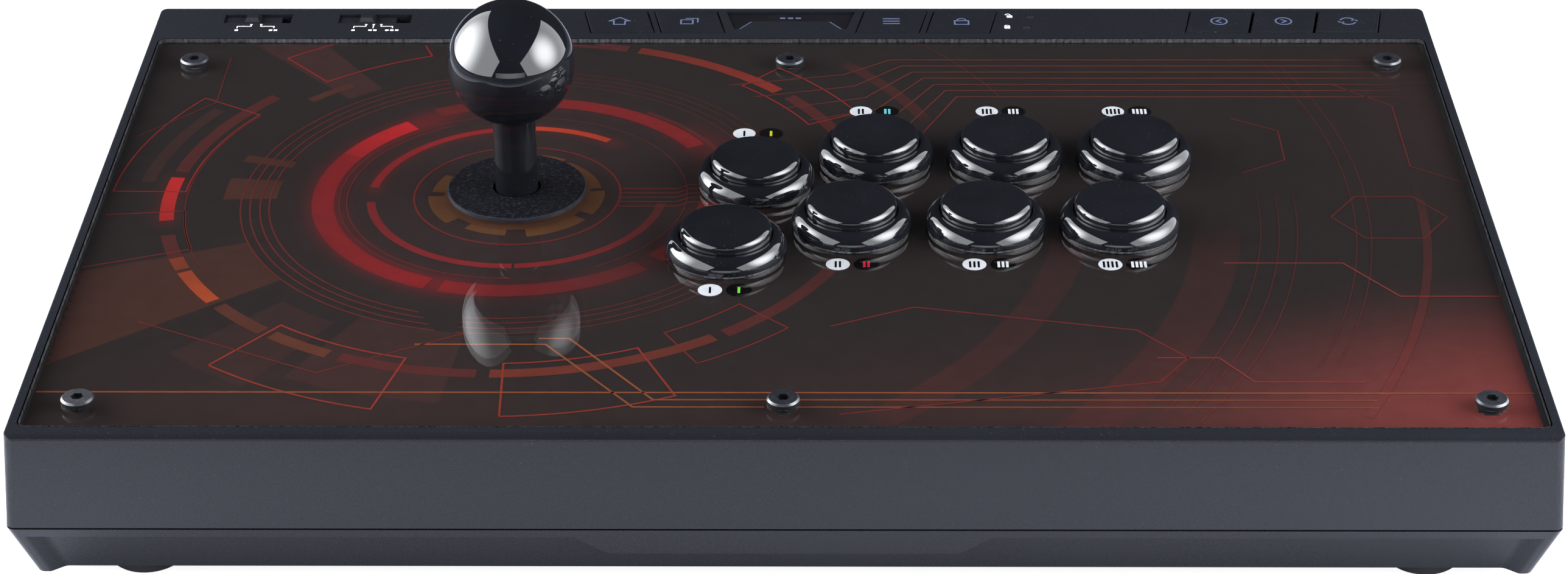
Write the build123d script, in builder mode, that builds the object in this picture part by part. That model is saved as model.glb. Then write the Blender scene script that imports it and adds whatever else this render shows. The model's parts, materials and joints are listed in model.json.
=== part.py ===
from build123d import *
import os
from math import atan2, cos, pi, sin, tan

# Table-top arcade joystick panel: plastic case, steel panel under printed artwork and a clear
# acrylic cover, ball-top lever, eight big push buttons and a control strip along the rear.
# Frame: Z up, X to the right, Y to the rear, origin on the ground under the middle of the case.

# ---------------------------------------------------------------- driving dimensions (mm)
TOP_Z = 46.5             # flat top of the case
PARTING_Z = 20.0         # joint between upper and lower case
BASE_Z = 3.3             # underside of the lower case
TOP_WIDTH = 388.0
TOP_DEPTH = 249.0
CASE_DRAFT = 1.75        # how far the walls lean out from the top to the parting line
LEG_DRAFT = 5.3          # how far the lower case leans in from the parting line to its foot
CORNER_RADIUS = 2.2
TOP_ROUND = 0.8          # rounding of the rear and end edges of the top
FRONT_ROUND = 1.9
WALL = 2.5
TIGHT = 0.05             # radial play of bores round screws and shafts
GAP = 0.4                # free gap round loosely fitted pieces

ACRYLIC_THICK = 3.0
SHEET_THICK = 0.3
PLATE_THICK = 1.5
SHEET_Z = TOP_Z - ACRYLIC_THICK - SHEET_THICK
PLATE_Z = SHEET_Z - PLATE_THICK
LEDGE_THICK = 3.0
LEDGE_Z = PLATE_Z - LEDGE_THICK
SKIN_Z = TOP_Z - 3.0     # underside of the control strip skin

PANEL_WIDTH = 382.2
PANEL_FRONT = -120.2
PANEL_REAR = 102.3
PANEL_RADIUS = 2.2
PANEL_DEPTH = PANEL_REAR - PANEL_FRONT
PANEL_MID = (PANEL_REAR + PANEL_FRONT) / 2
LEDGE_HALF_WIDTH = 184.0
LEDGE_FRONT = -115.0
LEDGE_REAR = 97.5
STRIP_FRONT = 104.3      # rear face of the wall between panel pocket and control strip

SCREW_X = 178.0
SCREW_REAR_Y = 86.3
SCREW_FRONT_Y = -108.4
PANEL_SCREWS = [(x, y) for y in (SCREW_REAR_Y, SCREW_FRONT_Y) for x in (-SCREW_X, 0, SCREW_X)]
CASE_SCREWS = [(-95, 113), (95, 113), (-100, -112), (100, -112), (-182, -10), (182, -10)]
CASE_SCREW_SPLIT_Z = 12.0
BOSS_RADIUS = 4.5

LEVER_X = -75.4
LEVER_Y = 4.8
PIVOT_Z = TOP_Z - 16.0
LEVER_HOLE_RADIUS = 12.0
BALL_RADIUS = 17.5
BALL_Z = TOP_Z + 39.8
SHAFT_RADIUS = 4.0
COVER_RADIUS = 5.95
WASHER_RADIUS = 19.3
STUD_X = 20.0
STUD_Y = 42.0

BUTTON_CENTRES = [
    (-8.9, 12.3), (24.8, 26.4), (61.5, 26.4), (98.2, 26.4),
    (-16.3, -28.2), (17.8, -14.1), (54.6, -14.1), (91.2, -14.1),
]
BUTTON_HOLE_RADIUS = 15.0
RIM_RADIUS = 16.5
RIM_HEIGHT = 4.3
RIM_LIP = 0.4            # upright edge below the domed shoulder of a rim
RIM_CREST = 13.3         # radius at which the shoulder reaches its full height
PLUNGER_RADIUS = 12.5
PLUNGER_TOP = 7.5        # above the case top
BUTTON_BOTTOM_Z = 27.0

KEY_Y = 114.1
KEY_DEPTH = 14.4
KEY_WIDTH = 19.0
KEY_SLANT = 1.35         # half the sideways lean between front and rear edge of a key
KEY_GAP = 0.35
KEY_PROUD = 0.3
KEY_FLANGE = 0.8
KEY_FLANGE_Z = 41.9
CLUSTER_KEY_WIDTH = 18.8
CLUSTER_LEFT_X = 130.7
CLUSTER_PITCH = 19.6
# name, centre in X, width, lean
KEYS = [
    ("key_home", -52.2, KEY_WIDTH, -KEY_SLANT),
    ("key_view", -30.8, KEY_WIDTH, -KEY_SLANT),
    ("key_menu", 30.8, KEY_WIDTH, KEY_SLANT),
    ("key_lock", 52.2, KEY_WIDTH, KEY_SLANT),
    ("key_stick_left", CLUSTER_LEFT_X, CLUSTER_KEY_WIDTH, KEY_SLANT),
    ("key_stick_right", CLUSTER_LEFT_X + CLUSTER_PITCH, CLUSTER_KEY_WIDTH, KEY_SLANT),
    ("key_swap", CLUSTER_LEFT_X + 2 * CLUSTER_PITCH, CLUSTER_KEY_WIDTH, KEY_SLANT),
]

SLOT_Y = 116.6
SLOT_DEPTH = 6.0
# name, slot centre in X, slot length, sideways travel
SLIDERS = [
    ("turbo_slider", -163.1, 20.6, 3.0),
    ("mode_slider", -127.2, 22.2, 4.6),
]
LED_SPOTS = [(73.3, 118.0), (71.9, 110.5)]
LED_WIDTH = 2.4
LED_DEPTH = 2.0

BOARD_Z = 36.4           # underside of the control board
BOARD_THICK = 1.6
BOARD_POSTS = [(-147, 108.3), (-80, 116), (84, 117), (186, 114)]
MAIN_BOARD_Z = 21.5
MAIN_POSTS = [(-34, 82), (34, 82), (-34, 112), (34, 112)]
SOCKET_WIDTH = 12.0
SOCKET_HEIGHT = 10.8
SOCKET_FRONT_Y = 108.5
SOCKET_REAR_Y = 125.0

FOOT_SPOTS = [(x, y) for x in (-164.2, 164.2) for y in (-107.2, 107.2)]
FOOT_RADIUS = 10.0
FOOT_RECESS = 0.8

os.makedirs("parts", exist_ok=True)


def save(builder, name):
    builder.part.label = name
    export_step(builder.part, f"parts/{name}.step")


def lean_outline(x, y, width, depth, lean):
    """Corner points of a key whose side edges lean by twice `lean` from front to rear."""
    half = width / 2
    low = y - depth / 2
    high = y + depth / 2
    return [
        (x - half - lean, low),
        (x + half - lean, low),
        (x + half + lean, high),
        (x - half + lean, high),
    ]


# ---------------------------------------------------------------- case
PARTING_WIDTH = TOP_WIDTH + 2 * CASE_DRAFT
PARTING_DEPTH = TOP_DEPTH + 2 * CASE_DRAFT
LEDGE_LEAN = CASE_DRAFT * (TOP_Z - LEDGE_Z) / (TOP_Z - PARTING_Z)
POCKET_WIDTH = PANEL_WIDTH + 2 * GAP
POCKET_DEPTH = PANEL_DEPTH + 2 * GAP
BOSS_TOP_Z = PLATE_Z
PANEL_BOSS_LOW_Z = 30.0
PANEL_SCREW_RADIUS = 2.0
CASE_SCREW_RADIUS = 1.5
CASE_BORE_DEPTH = 14.0
BOARD_SCREW_RADIUS = 1.25
BOARD_SCREW_LENGTH = 6.0
WINDOW_TOP_HALF = 19.7
WINDOW_FRONT_HALF = 17.1
WINDOW_FRONT_Y = 109.4
WINDOW_REAR_Y = 121.6
NOTCH_FRONT_HALF = 15.2
NOTCH_REAR_HALF = 11.5
NOTCH_REAR_Y = 114.8
WINDOW_DEPTH = 1.6

with BuildPart() as upper_case:
    with BuildSketch(Plane.XY.offset(PARTING_Z)):
        RectangleRounded(PARTING_WIDTH, PARTING_DEPTH, CORNER_RADIUS)
    with BuildSketch(Plane.XY.offset(TOP_Z)):
        RectangleRounded(TOP_WIDTH, TOP_DEPTH, CORNER_RADIUS)
    loft()
    fillet(upper_case.faces().sort_by(Axis.Z)[-1].edges(), TOP_ROUND)
    # larger rounding along the front edge, tangent to the top and to the leaning front
    lean = atan2(CASE_DRAFT, TOP_Z - PARTING_Z)
    tangent_y = -TOP_DEPTH / 2 + FRONT_ROUND * tan(pi / 4 - lean / 2)
    with BuildSketch(Plane.YZ.offset(-PARTING_WIDTH / 2)):
        with BuildLine():
            front_tangent = (tangent_y - FRONT_ROUND * cos(lean), TOP_Z - FRONT_ROUND * (1 - sin(lean)))
            ThreePointArc(
                front_tangent,
                (
                    tangent_y - FRONT_ROUND * cos(pi / 4 + lean / 2),
                    TOP_Z - FRONT_ROUND * (1 - sin(pi / 4 + lean / 2)),
                ),
                (tangent_y, TOP_Z),
            )
            Polyline(
                (tangent_y, TOP_Z),
                (tangent_y, TOP_Z + 1),
                (front_tangent[0] - 1, TOP_Z + 1),
                (front_tangent[0] - 1, front_tangent[1]),
                front_tangent,
            )
        make_face()
    extrude(amount=PARTING_WIDTH, mode=Mode.SUBTRACT)
    # hollow below the ledge
    with BuildSketch(Plane.XY.offset(PARTING_Z)):
        RectangleRounded(PARTING_WIDTH - 2 * WALL, PARTING_DEPTH - 2 * WALL, CORNER_RADIUS)
    with BuildSketch(Plane.XY.offset(LEDGE_Z)):
        RectangleRounded(
            TOP_WIDTH + 2 * LEDGE_LEAN - 2 * WALL,
            TOP_DEPTH + 2 * LEDGE_LEAN - 2 * WALL,
            CORNER_RADIUS,
        )
    loft(mode=Mode.SUBTRACT)
    # hollow under the control strip
    strip_rear = TOP_DEPTH / 2 - WALL + 0.6
    with BuildSketch(Plane.XY.offset(LEDGE_Z)):
        with Locations((0, (STRIP_FRONT + strip_rear) / 2)):
            Rectangle(TOP_WIDTH - 4 * WALL, strip_rear - STRIP_FRONT)
    extrude(amount=SKIN_Z - LEDGE_Z, mode=Mode.SUBTRACT)
    # pocket for the panel and the opening inside its ledge
    with BuildSketch(Plane.XY.offset(PLATE_Z)):
        with Locations((0, PANEL_MID)):
            RectangleRounded(POCKET_WIDTH, POCKET_DEPTH, PANEL_RADIUS + GAP)
    extrude(amount=TOP_Z - PLATE_Z, mode=Mode.SUBTRACT)
    with BuildSketch(Plane.XY.offset(LEDGE_Z)):
        with Locations((0, (LEDGE_REAR + LEDGE_FRONT) / 2)):
            Rectangle(2 * LEDGE_HALF_WIDTH, LEDGE_REAR - LEDGE_FRONT)
    extrude(amount=LEDGE_THICK, mode=Mode.SUBTRACT)
    # screw bosses for the panel, with tabs that tie them to the ledge
    with BuildSketch(Plane.XY.offset(PANEL_BOSS_LOW_Z)):
        with Locations(*PANEL_SCREWS):
            Circle(BOSS_RADIUS)
    extrude(amount=BOSS_TOP_Z - PANEL_BOSS_LOW_Z)
    tab_reach = LEDGE_HALF_WIDTH + 1.0 - SCREW_X
    with BuildSketch(Plane.XY.offset(LEDGE_Z)):
        for side in (-1, 1):
            with Locations(
                (side * (SCREW_X + tab_reach / 2), SCREW_REAR_Y),
                (side * (SCREW_X + tab_reach / 2), SCREW_FRONT_Y),
            ):
                Rectangle(tab_reach, 2 * BOSS_RADIUS)
        with Locations((0, (SCREW_REAR_Y + LEDGE_REAR + 1) / 2)):
            Rectangle(2 * BOSS_RADIUS, LEDGE_REAR + 1 - SCREW_REAR_Y)
        with Locations((0, (SCREW_FRONT_Y + LEDGE_FRONT - 1) / 2)):
            Rectangle(2 * BOSS_RADIUS, SCREW_FRONT_Y - LEDGE_FRONT + 1)
    extrude(amount=LEDGE_THICK)
    # tall bosses that take the case screws
    with BuildSketch(Plane.XY.offset(CASE_SCREW_SPLIT_Z)):
        with Locations(*CASE_SCREWS[:2]):
            Circle(BOSS_RADIUS)
    extrude(amount=SKIN_Z - CASE_SCREW_SPLIT_Z)
    with BuildSketch(Plane.XY.offset(CASE_SCREW_SPLIT_Z)):
        with Locations(*CASE_SCREWS[2:]):
            Circle(BOSS_RADIUS)
    extrude(amount=BOSS_TOP_Z - CASE_SCREW_SPLIT_Z)
    # short posts for the control board
    with BuildSketch(Plane.XY.offset(BOARD_Z + BOARD_THICK)):
        with Locations(*BOARD_POSTS):
            Circle(2.5)
    extrude(amount=SKIN_Z - BOARD_Z - BOARD_THICK)
    # screw bores
    with BuildSketch(Plane.XY.offset(PANEL_BOSS_LOW_Z)):
        with Locations(*PANEL_SCREWS):
            Circle(PANEL_SCREW_RADIUS + TIGHT)
    extrude(amount=BOSS_TOP_Z - PANEL_BOSS_LOW_Z, mode=Mode.SUBTRACT)
    with BuildSketch(Plane.XY.offset(CASE_SCREW_SPLIT_Z)):
        with Locations(*CASE_SCREWS):
            Circle(CASE_SCREW_RADIUS + TIGHT)
    extrude(amount=CASE_BORE_DEPTH, mode=Mode.SUBTRACT)
    with BuildSketch(Plane.XY.offset(BOARD_Z + BOARD_THICK)):
        with Locations(*BOARD_POSTS):
            Circle(BOARD_SCREW_RADIUS + TIGHT)
    extrude(amount=BOARD_SCREW_LENGTH - BOARD_THICK + GAP / 2, mode=Mode.SUBTRACT)
    # openings for the four centre keys and the shared opening of the right-hand cluster
    with BuildSketch(Plane.XY.offset(SKIN_Z)):
        for _, key_x, key_width, key_lean in KEYS[:4]:
            with BuildLine():
                Polyline(
                    *lean_outline(key_x, KEY_Y, key_width + 2 * KEY_GAP, KEY_DEPTH + 2 * KEY_GAP, key_lean),
                    close=True,
                )
            make_face()
        with BuildLine():
            Polyline(
                *lean_outline(
                    CLUSTER_LEFT_X + CLUSTER_PITCH,
                    KEY_Y,
                    2 * CLUSTER_PITCH + CLUSTER_KEY_WIDTH + 2 * KEY_GAP,
                    KEY_DEPTH + 2 * KEY_GAP,
                    KEY_SLANT,
                ),
                close=True,
            )
        make_face()
    extrude(amount=TOP_Z - SKIN_Z, mode=Mode.SUBTRACT)
    # slider slots and indicator holes
    with BuildSketch(Plane.XY.offset(SKIN_Z)):
        for _, slot_x, slot_length, _ in SLIDERS:
            with Locations((slot_x, SLOT_Y)):
                Rectangle(slot_length, SLOT_DEPTH)
        with Locations(*LED_SPOTS):
            Rectangle(LED_WIDTH + 0.2, LED_DEPTH + 0.2)
    extrude(amount=TOP_Z - SKIN_Z, mode=Mode.SUBTRACT)
    # shallow pocket for the glossy centre window, notched at the front
    with BuildSketch(Plane.XY.offset(TOP_Z - WINDOW_DEPTH)):
        with BuildLine():
            Polyline(
                (-WINDOW_FRONT_HALF, WINDOW_FRONT_Y),
                (-NOTCH_FRONT_HALF, WINDOW_FRONT_Y),
                (-NOTCH_REAR_HALF, NOTCH_REAR_Y),
                (NOTCH_REAR_HALF, NOTCH_REAR_Y),
                (NOTCH_FRONT_HALF, WINDOW_FRONT_Y),
                (WINDOW_FRONT_HALF, WINDOW_FRONT_Y),
                (WINDOW_TOP_HALF, WINDOW_REAR_Y),
                (-WINDOW_TOP_HALF, WINDOW_REAR_Y),
                close=True,
            )
        make_face()
    extrude(amount=WINDOW_DEPTH, mode=Mode.SUBTRACT)
    # mouth for the cable socket in the rear wall
    socket_mid_z = MAIN_BOARD_Z + BOARD_THICK + SOCKET_HEIGHT / 2
    with BuildSketch(Plane.XZ.offset(-TOP_DEPTH / 2 - 2 * CASE_DRAFT)):
        with Locations((0, socket_mid_z)):
            Rectangle(SOCKET_WIDTH + 0.5, SOCKET_HEIGHT + 0.5)
    extrude(amount=3 * WALL, mode=Mode.SUBTRACT)
save(upper_case, "upper_case")

BASE_WIDTH = PARTING_WIDTH - 2 * LEG_DRAFT
BASE_DEPTH = PARTING_DEPTH - 2 * LEG_DRAFT
PARTING_GROOVE = 0.5
RECESS_DEPTH = 3.0       # how far the walls between the corner legs stand back
LIP_Z = 16.8             # lower edge of the lip that runs round under the parting line
TAB_Z = 10.7             # lower edge of the middle tab on the front lip
TAB_TOP_HALF = 52.7
TAB_LOW_HALF = 44.3
LEG_WIDTH = 3.6
FLANK_RUN = 1.3          # sideways run of a leg's inner flank for each mm that the leg stands out
LEG_ROUND = 1.5
VALLEY_ROUND = 2.5
FLOOR_THICK = 2.5
TONGUE_HEIGHT = 2.0
RECESS_REACH = 8.0


def recess_outline(z, half_length, half_across):
    """Plan outline at height z of a recess between two legs, open to the outside, along -Y."""
    lean = LEG_DRAFT * (PARTING_Z - z) / (PARTING_Z - BASE_Z)
    at_face = half_length - lean - LEG_WIDTH
    outside = at_face + FLANK_RUN * (lean + 1.0)
    inside = at_face - FLANK_RUN * (RECESS_REACH - lean)
    return [
        (-outside, -half_across - 1.0),
        (outside, -half_across - 1.0),
        (inside, -half_across + RECESS_REACH),
        (-inside, -half_across + RECESS_REACH),
    ]


def upright_edges(part):
    """Edges that run from the underside up to the lip, which are those of the legs' flanks."""
    boxes = [(edge, edge.bounding_box()) for edge in part.edges()]
    return [e for e, box in boxes if abs(box.max.Z - LIP_Z) < 0.01 and abs(box.min.Z - BASE_Z) < 0.01]


def is_on_face(edge):
    """Whether an upright edge of a leg starts on the outer face rather than on the set-back wall."""
    foot = min((edge.position_at(0), edge.position_at(1)), key=lambda point: point.Z)
    return min(BASE_WIDTH / 2 - abs(foot.X), BASE_DEPTH / 2 - abs(foot.Y)) < 0.1


with BuildPart() as side_recess:
    for turn in (0, 90, 180, 270):
        sizes = (PARTING_WIDTH / 2, PARTING_DEPTH / 2)
        if turn % 180:
            sizes = sizes[::-1]
        for z in (BASE_Z - 1, LIP_Z):
            with BuildSketch(Plane.XY.offset(z).rotated((0, 0, turn))):
                with BuildLine():
                    Polyline(*recess_outline(z, *sizes), close=True)
                make_face()
        loft(ruled=True)
    # the lip stands lower in the middle of the front
    with BuildSketch(Plane.XZ.offset(PARTING_DEPTH / 2 + 2.0)):
        with BuildLine():
            Polyline(
                (TAB_TOP_HALF, LIP_Z),
                (TAB_LOW_HALF, TAB_Z),
                (-TAB_LOW_HALF, TAB_Z),
                (-TAB_TOP_HALF, LIP_Z),
                close=True,
            )
        make_face()
    extrude(amount=-RECESS_REACH * 2, mode=Mode.SUBTRACT)
    # keep the set-back walls
    with BuildSketch(Plane.XY.offset(BASE_Z - 1)):
        RectangleRounded(BASE_WIDTH - 2 * RECESS_DEPTH, BASE_DEPTH - 2 * RECESS_DEPTH, CORNER_RADIUS)
    with BuildSketch(Plane.XY.offset(PARTING_Z)):
        RectangleRounded(
            PARTING_WIDTH - 2 * RECESS_DEPTH,
            PARTING_DEPTH - 2 * RECESS_DEPTH,
            CORNER_RADIUS,
        )
    loft(mode=Mode.SUBTRACT)

with BuildPart() as lower_case:
    with BuildSketch(Plane.XY.offset(BASE_Z)):
        RectangleRounded(BASE_WIDTH, BASE_DEPTH, CORNER_RADIUS)
    with BuildSketch(Plane.XY.offset(PARTING_Z - PARTING_GROOVE)):
        RectangleRounded(PARTING_WIDTH, PARTING_DEPTH, CORNER_RADIUS)
    loft()
    add(side_recess.part, mode=Mode.SUBTRACT)
    # soft flanks on the legs: rounded where they leave the face, hollowed where they meet the wall
    fillet([edge for edge in upright_edges(lower_case) if not is_on_face(edge)], VALLEY_ROUND)
    fillet([edge for edge in upright_edges(lower_case) if is_on_face(edge)], LEG_ROUND)
    # seat for the upper case and the tongue that reaches up inside it
    with BuildSketch(Plane.XY.offset(PARTING_Z - PARTING_GROOVE)):
        RectangleRounded(PARTING_WIDTH - 2, PARTING_DEPTH - 2, CORNER_RADIUS)
    extrude(amount=PARTING_GROOVE)
    with BuildSketch(Plane.XY.offset(PARTING_Z)):
        RectangleRounded(
            PARTING_WIDTH - 2 * WALL - 2 * GAP - 0.2,
            PARTING_DEPTH - 2 * WALL - 2 * GAP - 0.2,
            CORNER_RADIUS,
        )
    extrude(amount=TONGUE_HEIGHT)
    # inside
    inner_inset = 2 * RECESS_DEPTH + 2 * WALL - 0.6
    with BuildSketch(Plane.XY.offset(BASE_Z + FLOOR_THICK)):
        RectangleRounded(BASE_WIDTH - inner_inset + 1, BASE_DEPTH - inner_inset + 1, CORNER_RADIUS)
    with BuildSketch(Plane.XY.offset(PARTING_Z + TONGUE_HEIGHT)):
        RectangleRounded(PARTING_WIDTH - inner_inset, PARTING_DEPTH - inner_inset, CORNER_RADIUS)
    loft(mode=Mode.SUBTRACT)
    # bosses and posts
    with BuildSketch(Plane.XY.offset(BASE_Z + FLOOR_THICK)):
        with Locations(*CASE_SCREWS):
            Circle(BOSS_RADIUS)
    extrude(amount=CASE_SCREW_SPLIT_Z - BASE_Z - FLOOR_THICK)
    with BuildSketch(Plane.XY.offset(BASE_Z + FLOOR_THICK)):
        with Locations(*MAIN_POSTS):
            Circle(3.0)
    extrude(amount=MAIN_BOARD_Z - BASE_Z - FLOOR_THICK)
    # counterbores and clearance holes for the case screws
    with BuildSketch(Plane.XY.offset(BASE_Z)):
        with Locations(*CASE_SCREWS):
            Circle(3.2)
    extrude(amount=8.0 - BASE_Z, mode=Mode.SUBTRACT)
    with BuildSketch(Plane.XY.offset(BASE_Z)):
        with Locations(*CASE_SCREWS):
            Circle(CASE_SCREW_RADIUS + TIGHT)
    extrude(amount=CASE_SCREW_SPLIT_Z - BASE_Z, mode=Mode.SUBTRACT)
    with BuildSketch(Plane.XY.offset(MAIN_BOARD_Z)):
        with Locations(*MAIN_POSTS):
            Circle(BOARD_SCREW_RADIUS + TIGHT)
    extrude(amount=-BOARD_SCREW_LENGTH, mode=Mode.SUBTRACT)
    # recesses for the rubber feet
    with BuildSketch(Plane.XY.offset(BASE_Z)):
        with Locations(*FOOT_SPOTS):
            Circle(FOOT_RADIUS + 0.2)
    extrude(amount=FOOT_RECESS, mode=Mode.SUBTRACT)
save(lower_case, "lower_case")

with BuildPart() as rubber_feet:
    with BuildSketch():
        with Locations(*FOOT_SPOTS):
            Circle(FOOT_RADIUS)
    extrude(amount=BASE_Z + FOOT_RECESS)
    chamfer(rubber_feet.faces().group_by(Axis.Z)[0].edges(), 0.6)
save(rubber_feet, "rubber_feet")

with BuildPart() as case_screws:
    for spot in CASE_SCREWS:
        with BuildSketch(Plane.XY.offset(8.0 - 2.4)):
            with Locations(spot):
                Circle(3.0)
        extrude(amount=2.4)
        with BuildSketch(Plane.XY.offset(8.0)):
            with Locations(spot):
                Circle(CASE_SCREW_RADIUS)
        extrude(amount=16.0)
        with BuildSketch(Plane.XY.offset(8.0 - 2.4)):
            with Locations(spot):
                RegularPolygon(1.3, 6)
        extrude(amount=1.4, mode=Mode.SUBTRACT)
save(case_screws, "case_screws")

# ---------------------------------------------------------------- panel
with BuildPart() as panel_plate:
    with BuildSketch(Plane.XY.offset(PLATE_Z)):
        with Locations((0, PANEL_MID)):
            RectangleRounded(PANEL_WIDTH, PANEL_DEPTH, PANEL_RADIUS)
        with Locations(*BUTTON_CENTRES):
            Circle(BUTTON_HOLE_RADIUS, mode=Mode.SUBTRACT)
        with Locations((LEVER_X, LEVER_Y)):
            Circle(LEVER_HOLE_RADIUS, mode=Mode.SUBTRACT)
        with Locations(*PANEL_SCREWS):
            Circle(PANEL_SCREW_RADIUS + 0.2, mode=Mode.SUBTRACT)
    extrude(amount=PLATE_THICK)
    # studs that carry the lever
    with BuildSketch(Plane.XY.offset(PLATE_Z)):
        with Locations((LEVER_X, LEVER_Y)):
            with GridLocations(2 * STUD_X, 2 * STUD_Y, 2, 2):
                Circle(2.0)
    extrude(amount=-5.6)
save(panel_plate, "panel_plate")

with BuildPart() as artwork_sheet:
    with BuildSketch(Plane.XY.offset(SHEET_Z)):
        with Locations((0, PANEL_MID)):
            RectangleRounded(PANEL_WIDTH, PANEL_DEPTH, PANEL_RADIUS)
        with Locations(*BUTTON_CENTRES):
            Circle(BUTTON_HOLE_RADIUS, mode=Mode.SUBTRACT)
        with Locations((LEVER_X, LEVER_Y)):
            Circle(LEVER_HOLE_RADIUS, mode=Mode.SUBTRACT)
        with Locations(*PANEL_SCREWS):
            Circle(PANEL_SCREW_RADIUS + 0.2, mode=Mode.SUBTRACT)
    extrude(amount=SHEET_THICK)
save(artwork_sheet, "artwork_sheet")

with BuildPart() as acrylic_cover:
    with BuildSketch(Plane.XY.offset(SHEET_Z + SHEET_THICK)):
        with Locations((0, PANEL_MID)):
            RectangleRounded(PANEL_WIDTH, PANEL_DEPTH, PANEL_RADIUS)
        with Locations(*BUTTON_CENTRES):
            Circle(BUTTON_HOLE_RADIUS, mode=Mode.SUBTRACT)
        with Locations((LEVER_X, LEVER_Y)):
            Circle(LEVER_HOLE_RADIUS, mode=Mode.SUBTRACT)
        with Locations(*PANEL_SCREWS):
            Circle(PANEL_SCREW_RADIUS + 0.2, mode=Mode.SUBTRACT)
    extrude(amount=ACRYLIC_THICK)
save(acrylic_cover, "acrylic_cover")

SCREW_HEAD_RADIUS = 4.2
SCREW_HEAD_HEIGHT = 1.5
with BuildPart() as panel_screws:
    for spot in PANEL_SCREWS:
        with BuildSketch(Plane.XY.offset(TOP_Z)):
            with Locations(spot):
                Circle(SCREW_HEAD_RADIUS)
        extrude(amount=SCREW_HEAD_HEIGHT)
    chamfer(panel_screws.faces().group_by(Axis.Z)[-1].edges(), 0.5)
    for spot in PANEL_SCREWS:
        with BuildSketch(Plane.XY.offset(TOP_Z)):
            with Locations(spot):
                Circle(PANEL_SCREW_RADIUS)
        extrude(amount=-12.0)
        with BuildSketch(Plane.XY.offset(TOP_Z + SCREW_HEAD_HEIGHT)):
            with Locations(spot):
                RegularPolygon(1.7, 6)
        extrude(amount=-1.2, mode=Mode.SUBTRACT)
save(panel_screws, "panel_screws")

# ---------------------------------------------------------------- lever
MOUNT_Z = PLATE_Z - 1.6
HOUSING_Z = 20.0
HOUSING_SIDE = 58.0
PIVOT_RADIUS = 9.0
PIVOT_HALF = 5.0
WASHER_POCKET_RADIUS = 18.6
WASHER_POCKET_DEPTH = 1.5

with BuildPart() as lever_mount_plate:
    with BuildSketch(Plane.XY.offset(MOUNT_Z)):
        with Locations((LEVER_X, LEVER_Y)):
            RectangleRounded(63, 97, 5)
            Circle(LEVER_HOLE_RADIUS, mode=Mode.SUBTRACT)
            with GridLocations(2 * STUD_X, 2 * STUD_Y, 2, 2):
                Circle(2.0 + TIGHT, mode=Mode.SUBTRACT)
    extrude(amount=PLATE_Z - MOUNT_Z)
save(lever_mount_plate, "lever_mount_plate")

with BuildPart() as lever_nuts:
    with BuildSketch(Plane.XY.offset(MOUNT_Z)):
        with Locations((LEVER_X, LEVER_Y)):
            with GridLocations(2 * STUD_X, 2 * STUD_Y, 2, 2):
                RegularPolygon(4.0, 6)
                Circle(2.0 + TIGHT, mode=Mode.SUBTRACT)
    extrude(amount=-3.2)
save(lever_nuts, "lever_nuts")

with BuildPart() as lever_housing:
    with BuildSketch(Plane.XY.offset(HOUSING_Z)):
        with Locations((LEVER_X, LEVER_Y)):
            RectangleRounded(HOUSING_SIDE, HOUSING_SIDE, 4)
    extrude(amount=MOUNT_Z - HOUSING_Z)
    with BuildSketch(Plane.XY.offset(HOUSING_Z)):
        with Locations((LEVER_X, LEVER_Y)):
            RectangleRounded(HOUSING_SIDE - 2 * WALL, HOUSING_SIDE - 2 * WALL, 2)
    extrude(amount=13.5, mode=Mode.SUBTRACT)
    # column with the spherical seat of the pivot
    with BuildSketch(Plane.XY.offset(HOUSING_Z + 3.0)):
        with Locations((LEVER_X, LEVER_Y)):
            Circle(13.0)
    extrude(amount=11.0)
    with Locations((LEVER_X, LEVER_Y, PIVOT_Z)):
        Sphere(PIVOT_RADIUS + 0.08, mode=Mode.SUBTRACT)
    with BuildSketch(Plane.XY.offset(HOUSING_Z)):
        with Locations((LEVER_X, LEVER_Y)):
            Circle(PIVOT_RADIUS + 0.3)
    extrude(amount=PIVOT_Z - HOUSING_Z, mode=Mode.SUBTRACT)
    # flared mouth above the pivot and the pocket of the inner washer
    with BuildSketch(Plane.XY.offset(PIVOT_Z + PIVOT_HALF)):
        with Locations((LEVER_X, LEVER_Y)):
            Circle(7.9)
    with BuildSketch(Plane.XY.offset(MOUNT_Z - WASHER_POCKET_DEPTH)):
        with Locations((LEVER_X, LEVER_Y)):
            Circle(9.6)
    loft(mode=Mode.SUBTRACT)
    with BuildSketch(Plane.XY.offset(MOUNT_Z - WASHER_POCKET_DEPTH)):
        with Locations((LEVER_X, LEVER_Y)):
            Circle(WASHER_POCKET_RADIUS)
    extrude(amount=WASHER_POCKET_DEPTH, mode=Mode.SUBTRACT)
save(lever_housing, "lever_housing")

with BuildPart() as inner_dust_washer:
    with BuildSketch(Plane.XY.offset(MOUNT_Z - WASHER_POCKET_DEPTH + 0.2)):
        with Locations((LEVER_X, LEVER_Y)):
            Circle(15.2)
            Circle(9.0, mode=Mode.SUBTRACT)
    extrude(amount=1.1)
save(inner_dust_washer, "inner_dust_washer")

with BuildPart() as dust_washer:
    with BuildSketch(Plane.XY.offset(TOP_Z + 0.1)):
        with Locations((LEVER_X, LEVER_Y)):
            Circle(WASHER_RADIUS)
            Circle(6.7, mode=Mode.SUBTRACT)
    extrude(amount=1.3)
    fillet(dust_washer.faces().sort_by(Axis.Z)[-1].edges().sort_by(SortBy.RADIUS)[-1], 0.4)
save(dust_washer, "dust_washer")

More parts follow.
